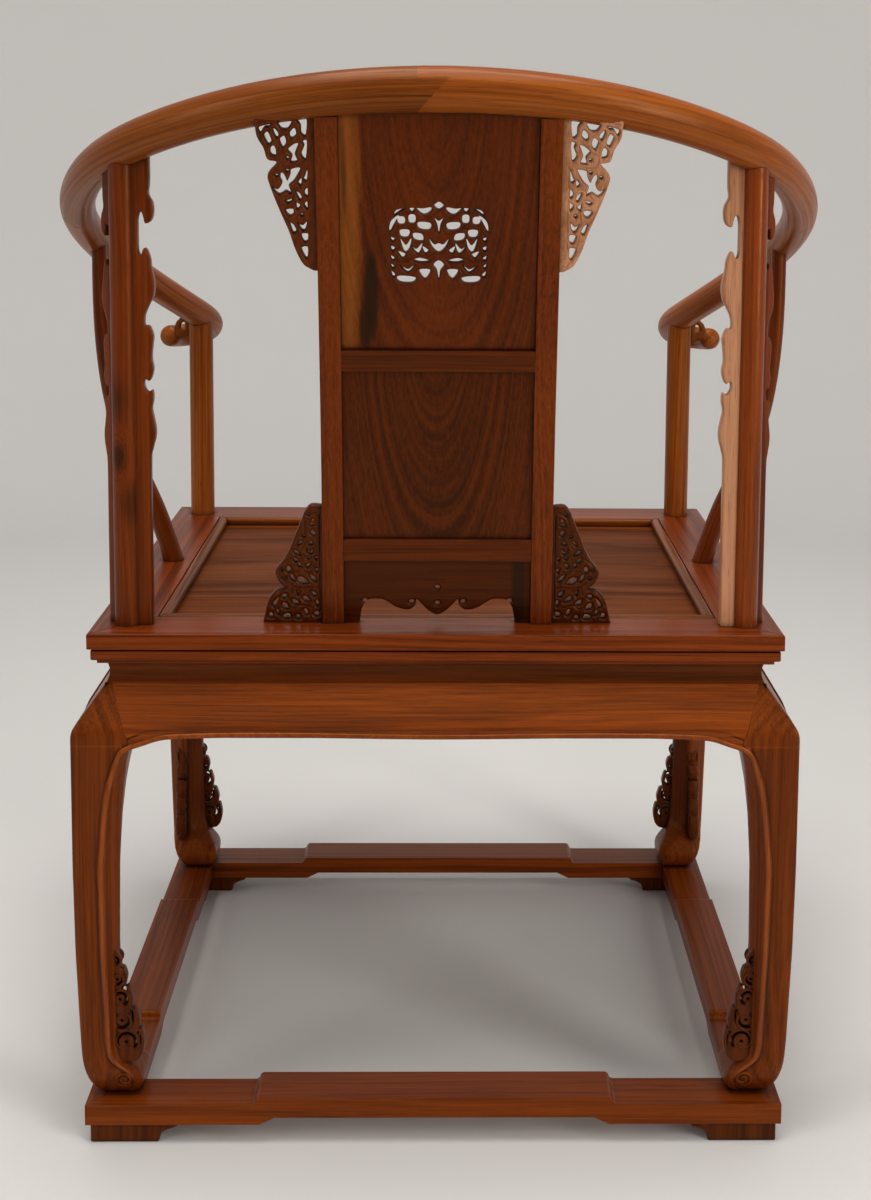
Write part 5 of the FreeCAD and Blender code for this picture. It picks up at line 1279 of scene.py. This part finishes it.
# The sides under the seat: (name, half its length, half the width across, along Y or not, direction)
SIDES = (
    ("back", HALF_WIDTH, HALF_DEPTH, False, 1), ("front", HALF_WIDTH, HALF_DEPTH, False, -1),
    ("left", HALF_DEPTH, HALF_WIDTH, True, 1), ("right", HALF_DEPTH, HALF_WIDTH, True, -1),
)


def bulge_at(height):
    """How far the leg's outer faces stand beyond the waist at a height of its head."""
    return float(np.interp(LEG_TOP - height, HEAD_DROPS, HEAD_BULGES))


def mitre_share(height):
    """How far down the head of a leg a height lies, from none at its top to one at its foot."""
    return (LEG_TOP - height) / (LEG_TOP - HEAD_FOOT)


def onto_side(points, turned, sign):
    """Points given along a side, outwards and upwards, at their places under the seat."""
    if turned:
        return [(sign * out, run + DEPTH_SHIFT, height) for run, out, height in points]
    return [(run, sign * out + DEPTH_SHIFT, height) for run, out, height in points]


def leg_rows():
    """Level, outward bulge, face, depth, inner corner width and slant of the leg, closely spaced."""
    table = np.array(LEG_ROWS)
    levels = np.arange(LEG_FOOT, HEAD_FOOT, 0.0035)
    shares = (levels - LEG_FOOT) / (LEG_TOP - LEG_FOOT)
    rows = []
    for share, level in zip(shares, levels):
        near = np.clip(share + np.linspace(-0.012, 0.012, 9), 0.0, table[-1, 0])
        if share < 0.012:
            near = np.array([share])
        bulge, face, depth, corner = (np.interp(near, table[:, 0], table[:, k]).mean()
                                      for k in (1, 2, 3, 4))
        face *= LEG_FACE
        depth *= LEG_DEPTH
        rows.append((level, BULGE * bulge, face, depth, depth * corner, (depth - face) * 1.5))
    for level in np.linspace(HEAD_FOOT, LEG_TOP, 19):
        out = bulge_at(level)
        size = MITRE + mitre_share(level) * MITRE + out - WAIST_INSET
        rows.append((level, out, size * 0.985, size, size * 0.985, size * 0.02))
    return rows


def rounded_corner(before, corner, after, radius, steps=5):
    """Points that round a corner of a section."""
    corner = np.array(corner)
    toward = np.array(before) - corner
    onward = np.array(after) - corner
    reach = min(radius, 0.45 * np.linalg.norm(toward), 0.45 * np.linalg.norm(onward))
    start = corner + toward / max(np.linalg.norm(toward), 1e-9) * reach
    end = corner + onward / max(np.linalg.norm(onward), 1e-9) * reach
    shares = np.linspace(0.0, 1.0, steps)[:, None]
    return (1 - shares) ** 2 * start + 2 * shares * (1 - shares) * corner + shares ** 2 * end


def leg_section(row, sizes):
    """The section of a leg from its outer corner inwards, with a fine groove beside each bead."""
    level, _, face, depth, corner, slant = row
    inward = ((0, 0), (face, 0), (depth, slant), (depth, corner), (corner, depth), (slant, depth),
              (0, face))
    quirk = sizes.quirk if level < HEAD_FOOT else 0.0
    edge = face - sizes.bead * BEAD_ROOM
    groove = [(edge - GROOVE_HALF, 0.0), (edge, quirk), (edge + GROOVE_HALF, 0.0)]
    ring = []
    for k, point in enumerate(inward):
        after = inward[(k + 1) % len(inward)]
        ring.extend(rounded_corner(inward[k - 1], point, after, LEG_RADII[k]))
        if k == 0:
            ring.extend(groove)
    ring.extend((b, a) for a, b in reversed(groove))
    return ring


def make_legs():
    """Smooth legs with a bead along their inner edges and along the aprons between them."""
    sizes = chair_settings().carving
    polished = wood("smooth leg wood", "leg", pith=(0.05, 0.04, 0.0), ring_spacing=0.006, streaks=0.6)
    rows = leg_rows()
    for corner, along, side in CORNERS:
        rings = []
        for row in rows:
            x = HALF_WIDTH - WAIST_INSET + row[1]
            y = HALF_DEPTH - WAIST_INSET + row[1]
            rings.append([(side * (x - a), along * (y - b) + DEPTH_SHIFT, row[0])
                          for a, b in leg_section(row, sizes)])
        vertices, faces = loft(rings)
        if side * along < 0:
            faces = [tuple(reversed(face)) for face in faces]
        add_piece("smooth_leg_" + corner, vertices, faces, polished, ("leg_" + corner,))
    make_aprons(sizes)
    # The bead's wood is a lighter, glossier copy of the leg wood; the lighter colour is a painted highlight
    # along the bead
    lightened = wood("bead wood", "leg", pith=(0.05, 0.04, 0.0), streaks=0.4, tint=1.45, gloss=0.24,
                sheen=0.6, grime=0.4)
    make_beads(rows, sizes, lightened)
    make_hoof_scrolls(rows, polished)
    make_leaves()


def bead_points(rows, half_run, half_face):
    """The run of one side's bead: up a leg's inner edge, along the apron and down the other leg."""
    leg = [(half_run - WAIST_INSET + out - face + 0.0022, half_face - WAIST_INSET + out - 0.0006, level)
           for level, out, face, _, _, _ in rows if 0.052 < level < 0.378]
    inner, outer, _ = leg[-1]
    leg = leg[::4] + [(inner - 0.006, outer, 0.3905)]
    leg += [(half_run - short, outer, level) for short, level in BEAD_TURN]
    return leg + [(0.0, outer, 0.4067)] + [(-x, y, z) for x, y, z in reversed(leg)]


def apron_underside(run, half_run):
    """The height of an apron's lower edge at a distance from its middle."""
    share = np.clip((run - (half_run - 0.086)) / 0.044, 0.0, 1.0)
    return float(APRON_LOW - APRON_DIP * share ** 2.2)


def apron_section(low, sizes):
    """The section of an apron above its lower edge, from the waist out and down and up its back."""
    groove = low + sizes.bead * BEAD_ROOM
    level = min(groove + 0.0012, 0.4065)
    section = [(0.0, LEG_TOP)] + [(bulge_at(z), z) for z in APRON_LEVELS if z > level + 0.0004]
    spare = 1 + len(APRON_LEVELS) - len(section)
    section += [(bulge_at(level + 0.0003), level + 0.0003)] * spare
    section += [(BULGE, groove + GROOVE_HALF), (BULGE - sizes.quirk, groove), (BULGE, groove - GROOVE_HALF)]
    section += [(BULGE, low + 0.001), (BULGE - 0.001, low), (BULGE - 0.019, low), (BULGE - 0.019, 0.41)]
    return section + [(-0.019, LEG_TOP)]


def make_aprons(sizes):
    """Bulging aprons between mitres, with a narrow groove above the bead of the lower edge."""
    for name, half_run, half_face, turned, sign in SIDES:
        grain = "y" if turned else "x"
        # The aprons' wood is lightened by a tint: painted light on their upward-sloping faces
        material = wood("apron wood " + grain, "leg", grain, pith=(0.05, 0.21, 0.0), ring_spacing=0.007,
                        streaks=0.8, tint=1.35, sheen=0.35)
        face = half_face - WAIST_INSET
        rows = []
        for share in np.linspace(-1.0, 1.0, 121):
            low = apron_underside(abs(share) * (half_run - 2 * MITRE), half_run)
            row = [(share * (half_run - MITRE - mitre_share(z) * MITRE), face + out, z)
                   for out, z in apron_section(low, sizes)]
            rows.append(onto_side(row, turned, sign))
        vertices, faces = loft(rows)
        if (sign > 0) != turned:
            faces = [tuple(reversed(face)) for face in faces]
        piece = add_piece("bulging_apron_" + name, vertices, faces, material,
                          ("apron_" + name,))
        sharpen(piece)


def sharpen(piece):
    """Keeps the hard edges of a smooth-shaded piece crisp."""
    piece.data.set_sharp_from_angle(angle=math.radians(38))


def make_beads(rows, sizes, material):
    """The rounded bead that runs up the legs and along each apron's lower edge."""
    taper = np.linspace(0.25, 1.0, 16)
    for name, half_run, half_face, turned, sign in SIDES:
        line, ways = spline(onto_side(bead_points(rows, half_run, half_face), turned, sign), 420)
        radii = np.full(len(line), sizes.bead / 2)
        radii[:16] *= taper
        radii[-16:] *= taper[::-1]
        vertices, faces = tube(line, ways, radii, (0.31, 0.29, 0.9), 14)
        add_piece("bead_" + name, vertices, faces, material)


def make_hoof_scrolls(rows, material):
    """A small raised scroll low on the two outer faces of each leg, under the leaf."""
    levels = [row[0] for row in rows]
    bulges = [row[1] for row in rows]
    for corner, along, side in CORNERS:
        vertices = []
        faces = []
        for across, deep, turned in ((HALF_WIDTH, HALF_DEPTH, False), (HALF_DEPTH, HALF_WIDTH, True)):
            line = []
            for turn in np.linspace(math.radians(-100), math.radians(500), 26):
                share = (turn + math.radians(100)) / math.radians(600)
                reach = HOOF_SCROLL_RADIUS * (1.0 - 0.8 * share)
                level = HOOF_SCROLL_HEIGHT + reach * math.sin(turn)
                out = float(np.interp(level, levels, bulges))
                run = across - WAIST_INSET - 0.0155 + reach * math.cos(turn)
                line.append((run, deep - WAIST_INSET + out - 0.0001, level))
            if turned:
                line = [(y, x, z) for x, y, z in line]
            path, ways = spline([(side * x, along * y + DEPTH_SHIFT, z) for x, y, z in line], 120)
            radii = np.full(len(path), 0.0016)
            radii[:12] *= np.linspace(0.2, 1.0, 12)
            ring, wall = tube(path, ways, radii, (0.3, 0.4, 0.86), 10)
            faces.extend(tuple(index + len(vertices) for index in face) for face in wall)
            vertices.extend(ring)
        add_piece("hoof_scrolls_" + corner, vertices, faces, material)


def make_leaves():
    """The pierced leaves on the inner edges of the legs, two on each leg."""
    carving = wood("leaf wood", "carved", pith=(0.05, 0.04, 0.0), ring_spacing=0.005, grime=0.95, tint=0.85)
    free = shaped(LEAF_EDGE, LEAF_SIZE, False)
    outline = joined(free, [(-0.006, 0.0), (-0.006, LEAF_SIZE[1])])
    openings = [shaped(hole, LEAF_SIZE) for hole in LEAF_HOLES] + dots(LEAF_EYES, LEAF_SIZE, 0.0011)
    openings += [curl(LEAF_SIZE, *shares) for shares in LEAF_CURLS]
    grooves = [shaped(vein, LEAF_SIZE, False, 5) for vein in LEAF_VEINS]
    board = carve(outline, openings, free, LEAF_THICKNESS, grooves, 0.0006)
    rims = [rim for shares in LEAF_CURLS for rim in raised_curl(LEAF_SIZE, LEAF_THICKNESS, *shares)]
    width = HALF_WIDTH - WAIST_INSET + BULGE
    depth = HALF_DEPTH - WAIST_INSET + BULGE
    for corner, along, side in CORNERS:
        for name, x, y, across in (
            ("carved_leaf_", width - LEG_FACE, depth - 0.016, (-side, 0.0, 0.0)),
            ("carved_side_leaf_", width - 0.016, depth - LEG_FACE, (0.0, -along, 0.0)),
        ):
            origin = (side * x, along * y + DEPTH_SHIFT, LEG_FOOT + 0.038)
            place_board(name + corner, board, origin, across, (0.0, 0.0, 1.0), carving,
                        ("leg_leaves_" + corner,), rims)


# Plain pieces that keep their solids


def finish_node(name, material, width):
    """Welds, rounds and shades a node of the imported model."""
    node = nodes[name]
    dress(node, material)
    weld = node.modifiers.new("weld", "WELD")
    weld.merge_threshold = 0.00002
    flat = node.modifiers.new("flat faces", "DECIMATE")
    flat.decimate_type = "DISSOLVE"
    flat.angle_limit = math.radians(1.5)
    soften(node, width)


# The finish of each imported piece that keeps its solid, by the start of its name
NODE_FINISHES = {
    "crest": ("scarf_wedges",),
    "splat": ("splat_middle_panel",),
    "seat": ("seat_panel", "seat_edging", "seat_battens"),
    "leg": ("waist", "base", "foot"),
    "frame": ("",),
}
GRAIN_ACROSS = ("seat_rail_back", "seat_rail_front", "seat_edging_long", "seat_panel",
                "waist_strips_long", "base_rail_back", "base_rail_front", "splat_lower_rail",
                "splat_middle_rail")
GRAIN_DEEP = ("seat_rail_left", "seat_rail_right", "seat_edging_short", "seat_battens",
              "waist_strips_short", "base_rail_left", "base_rail_right")
REPLACED_NODES = ("crest_rail", "arm_", "side_post", "upper_bracket", "lower_bracket", "splat_upper",
                  "splat_apron", "rear_spandrel", "side_spandrel", "leg_", "apron_")
SEAT_BOARD = {"sheen": 0.08, "gloss": 0.5, "coat": 0.0}
SPLAT_STILE = {"pith": (0.45, -0.3, 0.0), "ring_spacing": 0.0045, "figure": 0.45}
SPLAT_RAIL = {"pith": (0.05, 0.3, 0.0), "ring_spacing": 0.0045, "figure": 0.4, "tint": 0.7}
# WAIST_STRIP darkens the waist strips by a tint: painted shade on the recessed waist under the seat
WAIST_STRIP = {"pith": (0.05, 0.3, 0.0), "figure": 0.4, "tint": 0.6}
# Imported pieces whose wood differs from that of their finish, by the start of their names; some of the tints
# are painted light and painted shade, as the notes say
OWN_WOODS = {
    "splat_middle_panel": {"pith": (0.0, 0.0805, 0.0), "ring_spacing": 0.0042, "figure": 0.8, "tilt": 0.4,
                           "spread": 0.0, "tint": 0.72},
    "seat_panel_main_board": {"ring_spacing": 0.007, "figure": 0.9, **SEAT_BOARD},
    "seat_panel_rear_board": {"ring_spacing": 0.006, "tint": 1.3, **SEAT_BOARD},
    "splat_stile_left": SPLAT_STILE,
    "splat_stile_right": {"tint": 1.1, **SPLAT_STILE},
    "splat_lower_rail": SPLAT_RAIL,
    "splat_middle_rail": SPLAT_RAIL,
    "waist_strips_long": WAIST_STRIP,
    "waist_strips_short": WAIST_STRIP,
    # rear_post_right: lightened by a tint, painted light on the post on the key lamp's side
    "rear_post_right": {"tint": 1.45, "sheen": 0.5, "gloss": 0.27},
    "front_post": {"finish": "crest"},
    # seat_rail: lightened by a tint, painted light from above on the rail's top
    "seat_rail": {"tint": 1.3},
    "seat_edging": {"tint": 1.2},
    # base_rail: lightened by a tint, painted light from above on the rail's top
    "base_rail": {"tint": 1.15},
    # foot_: darkened by a tint, painted shade on the feet low under the chair
    "foot_": {"tint": 0.6},
    "rear_post_left": {
        "pith": (-0.285, -0.21, 0.0), "ring_spacing": 0.0028, "streaks": 0.6, "spread": 0.0,
        "patches": (((0.305, 0.24, 0.72), (0.018, 0.04, 0.03), STAIN, 0.6, 0.7),
                    ((0.29, 0.235, 0.62), (0.012, 0.04, 0.028), STAIN, 0.6, 0.7)),
        "knots": (((0.302, 0.233, 0.665), (0.018, 0.03, 0.034)),),
    },
}


def make_plain_pieces():
    """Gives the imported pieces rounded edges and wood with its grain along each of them."""
    edges = chair_settings().edges
    for name in sorted(nodes):
        if name.startswith(REPLACED_NODES):
            continue
        finish = next(finish for finish, starts in NODE_FINISHES.items() if name.startswith(starts))
        grain = "x" if name.startswith(GRAIN_ACROSS) else "y" if name.startswith(GRAIN_DEEP) else "z"
        width = edges.base if name.startswith(("base", "foot")) else edges.frame
        if name.startswith(("waist", "scarf")):
            width = edges.seam
        own = next((start for start in OWN_WOODS if name.startswith(start)), "")
        figure = dict(OWN_WOODS.get(own, {}))
        finish = figure.pop("finish", finish)
        material = wood((own.strip("_") or finish) + " wood " + grain, finish, grain, **figure)
        finish_node(name, material, width)


# Stage


def make_stage():
    """Floor, world, lamps and the camera at the photograph's viewing angle."""
    stage = chair_settings().stage
    scene = bpy.context.scene
    scene.view_settings.view_transform = "Standard"
    world = bpy.data.worlds.new("Studio")
    scene.world = world
    world.use_nodes = True
    tree = world.node_tree
    tree.nodes.clear()
    background = add(tree, "ShaderNodeBackground", {
        "Color": (1.0, 0.995, 0.985, 1.0), "Strength": stage.world})
    out = add(tree, "ShaderNodeOutputWorld")
    tree.links.new(background.outputs[0], out.inputs["Surface"])
    make_floor(stage)
    for name, place, aim, size, power in (
        ("Key lamp", (-2.1, 1.9, 1.5), (0.0, 0.1, 0.6), (0.7, 2.0), stage.key),
        ("Fill lamp", (2.4, 1.7, 1.8), (0.0, 0.0, 0.6), (0.9, 1.6), stage.fill),
        ("Top lamp", (0.1, 0.4, 3.2), (0.0, 0.1, 0.5), (2.2, 2.2), stage.top),
    ):
        data = bpy.data.lights.new(name, "AREA")
        data.shape = "RECTANGLE"
        data.size, data.size_y = size
        data.energy = power
        data.color = (1.0, 0.97, 0.93)
        lamp = bpy.data.objects.new(name, data)
        lamp.location = place
        lamp.rotation_euler = (Vector(aim) - Vector(place)).to_track_quat("-Z", "Y").to_euler()
        scene.collection.objects.link(lamp)
    make_camera()


def make_floor(stage):
    """A pale round sheet whose rim curves up all around the chair; only its inner side shows."""
    flat = 2.9
    bend = 1.0
    rim = 4.4
    middle = 0.6
    profile = [(flat * share, 0.0) for share in (0.25, 0.5, 0.75, 1.0)]
    profile += [(flat + bend * math.sin(angle), bend - bend * math.cos(angle))
                for angle in np.linspace(0.0, math.pi / 2, 17)[1:]]
    profile.append((flat + bend, rim))
    turns = np.linspace(0.0, 2 * math.pi, 97)[:-1]
    rows = [[(radius * math.cos(turn), middle + radius * math.sin(turn), height) for turn in turns]
            for radius, height in profile]
    vertices = [(0.0, middle, 0.0)] + [point for row in rows for point in row]
    count = len(turns)
    faces = [(0, 1 + k, 1 + (k + 1) % count) for k in range(count)]
    for row in range(len(rows) - 1):
        start = 1 + row * count
        for k in range(count):
            after = (k + 1) % count
            faces.append((start + k, start + count + k, start + count + after, start + after))
    mesh = bpy.data.meshes.new("floor")
    mesh.from_pydata(vertices, [], faces)
    mesh.polygons.foreach_set("use_smooth", [True] * len(mesh.polygons))
    floor = bpy.data.objects.new("floor", mesh)
    bpy.context.scene.collection.objects.link(floor)
    material = bpy.data.materials.new("Pale sheet")
    material.use_nodes = True
    tree = material.node_tree
    shader = tree.nodes["Principled BSDF"]
    place = add(tree, "ShaderNodeTexCoord").outputs["Object"]
    mottle = ranged(tree, noise(tree, stretched(tree, place, (3.0, 3.0, 3.0)), 3.0), 0.3, 0.7, 0.0, 0.06)
    tone = mixed(tree, mottle, opaque(stage.floor), opaque((0.62, 0.61, 0.60)))
    tree.links.new(tone, shader.inputs["Base Color"])
    shader.inputs["Roughness"].default_value = 0.85
    behind = add(tree, "ShaderNodeNewGeometry").outputs["Backfacing"]
    clear = add(tree, "ShaderNodeBsdfTransparent")
    one_sided = add(tree, "ShaderNodeMixShader", {0: behind, 1: shader.outputs[0], 2: clear.outputs[0]})
    tree.links.new(one_sided.outputs[0], tree.nodes["Material Output"].inputs["Surface"])
    mesh.materials.append(material)


def make_camera():
    """The photograph's camera: six degrees down, with its lens shifted to keep uprights upright."""
    focal_pixels = 1596.96
    frame_width = 871.0
    pitch, yaw, roll = 0.1047, -0.0159, 0.0075
    forward = Vector((math.sin(yaw) * math.cos(pitch), -math.cos(yaw) * math.cos(pitch), -math.sin(pitch)))
    level = forward.cross(Vector((0, 0, 1))).normalized()
    upright = level.cross(forward)
    right = level * math.cos(roll) + upright * math.sin(roll)
    up = upright * math.cos(roll) - level * math.sin(roll)
    data = bpy.data.cameras.new("Camera")
    data.sensor_fit = "HORIZONTAL"
    data.sensor_width = 36.0
    data.lens = focal_pixels * data.sensor_width / frame_width
    data.shift_x = -37.07 / frame_width
    data.shift_y = -282.46 / frame_width
    camera = bpy.data.objects.new("Camera", data)
    turn = Matrix((right, up, -forward)).transposed()
    camera.matrix_world = Matrix.Translation((-0.0081, 1.7225, 0.9565)) @ turn.to_4x4()
    bpy.context.scene.collection.objects.link(camera)
    bpy.context.scene.camera = camera


# Operators


class ARMCHAIR_OT_stage(bpy.types.Operator):
    """Make the floor, the lamps and the camera"""
    bl_idname = "armchair.stage"
    bl_label = "Stage"

    def execute(self, context):
        make_stage()
        return {"FINISHED"}


class ARMCHAIR_OT_rails(bpy.types.Operator):
    """Make the crest rail and the arms"""
    bl_idname = "armchair.rails"
    bl_label = "Crest Rail and Arms"

    def execute(self, context):
        make_rails()
        return {"FINISHED"}


class ARMCHAIR_OT_side_posts(bpy.types.Operator):
    """Make the bent posts under the arms"""
    bl_idname = "armchair.side_posts"
    bl_label = "Side Posts"

    def execute(self, context):
        make_side_posts()
        return {"FINISHED"}


class ARMCHAIR_OT_brackets(bpy.types.Operator):
    """Carve the brackets beside the splat"""
    bl_idname = "armchair.brackets"
    bl_label = "Brackets"

    def execute(self, context):
        make_brackets()
        return {"FINISHED"}


class ARMCHAIR_OT_splat(bpy.types.Operator):
    """Carve the upper panel and the apron of the splat"""
    bl_idname = "armchair.splat"
    bl_label = "Splat Panels"

    def execute(self, context):
        make_splat()
        return {"FINISHED"}


class ARMCHAIR_OT_spandrels(bpy.types.Operator):
    """Carve the long spandrels beside the rear posts"""
    bl_idname = "armchair.spandrels"
    bl_label = "Spandrels"

    def execute(self, context):
        make_spandrels()
        return {"FINISHED"}


class ARMCHAIR_OT_arm_scrolls(bpy.types.Operator):
    """Carve the scrolls under the ends of the arms"""
    bl_idname = "armchair.arm_scrolls"
    bl_label = "Arm Scrolls"

    def execute(self, context):
        make_arm_scrolls()
        return {"FINISHED"}


class ARMCHAIR_OT_legs(bpy.types.Operator):
    """Make the legs with their beads and leaves"""
    bl_idname = "armchair.legs"
    bl_label = "Legs and Leaves"

    def execute(self, context):
        make_legs()
        return {"FINISHED"}


class ARMCHAIR_OT_plain_pieces(bpy.types.Operator):
    """Finish the pieces that keep their solids"""
    bl_idname = "armchair.plain_pieces"
    bl_label = "Plain Pieces"

    def execute(self, context):
        make_plain_pieces()
        return {"FINISHED"}


class ARMCHAIR_PT_sidebar(bpy.types.Panel):
    """Lists the steps that dress the armchair"""
    bl_label = "Armchair"
    bl_idname = "ARMCHAIR_PT_sidebar"
    bl_space_type = "VIEW_3D"
    bl_region_type = "UI"
    bl_category = "Armchair"

    def draw(self, context):
        for step in STEPS:
            self.layout.operator(step.bl_idname)


STEPS = (
    ARMCHAIR_OT_stage,
    ARMCHAIR_OT_rails,
    ARMCHAIR_OT_side_posts,
    ARMCHAIR_OT_brackets,
    ARMCHAIR_OT_splat,
    ARMCHAIR_OT_spandrels,
    ARMCHAIR_OT_arm_scrolls,
    ARMCHAIR_OT_legs,
    ARMCHAIR_OT_plain_pieces,
)
CLASSES = (WoodColours, RailSizes, EdgeSizes, CarvingSizes, StageLevels, ArmchairSettings, *STEPS,
           ARMCHAIR_PT_sidebar)


def register():
    for made in CLASSES:
        bpy.utils.register_class(made)
    bpy.types.Scene.armchair = bpy.props.PointerProperty(
        type=ArmchairSettings, name="Armchair", description="Settings of the armchair")


def unregister():
    del bpy.types.Scene.armchair
    for made in reversed(CLASSES):
        bpy.utils.unregister_class(made)


def main():
    register()
    for step in STEPS:
        family, name = step.bl_idname.split(".")
        getattr(getattr(bpy.ops, family), name)()


if __name__ == "__main__":
    main()
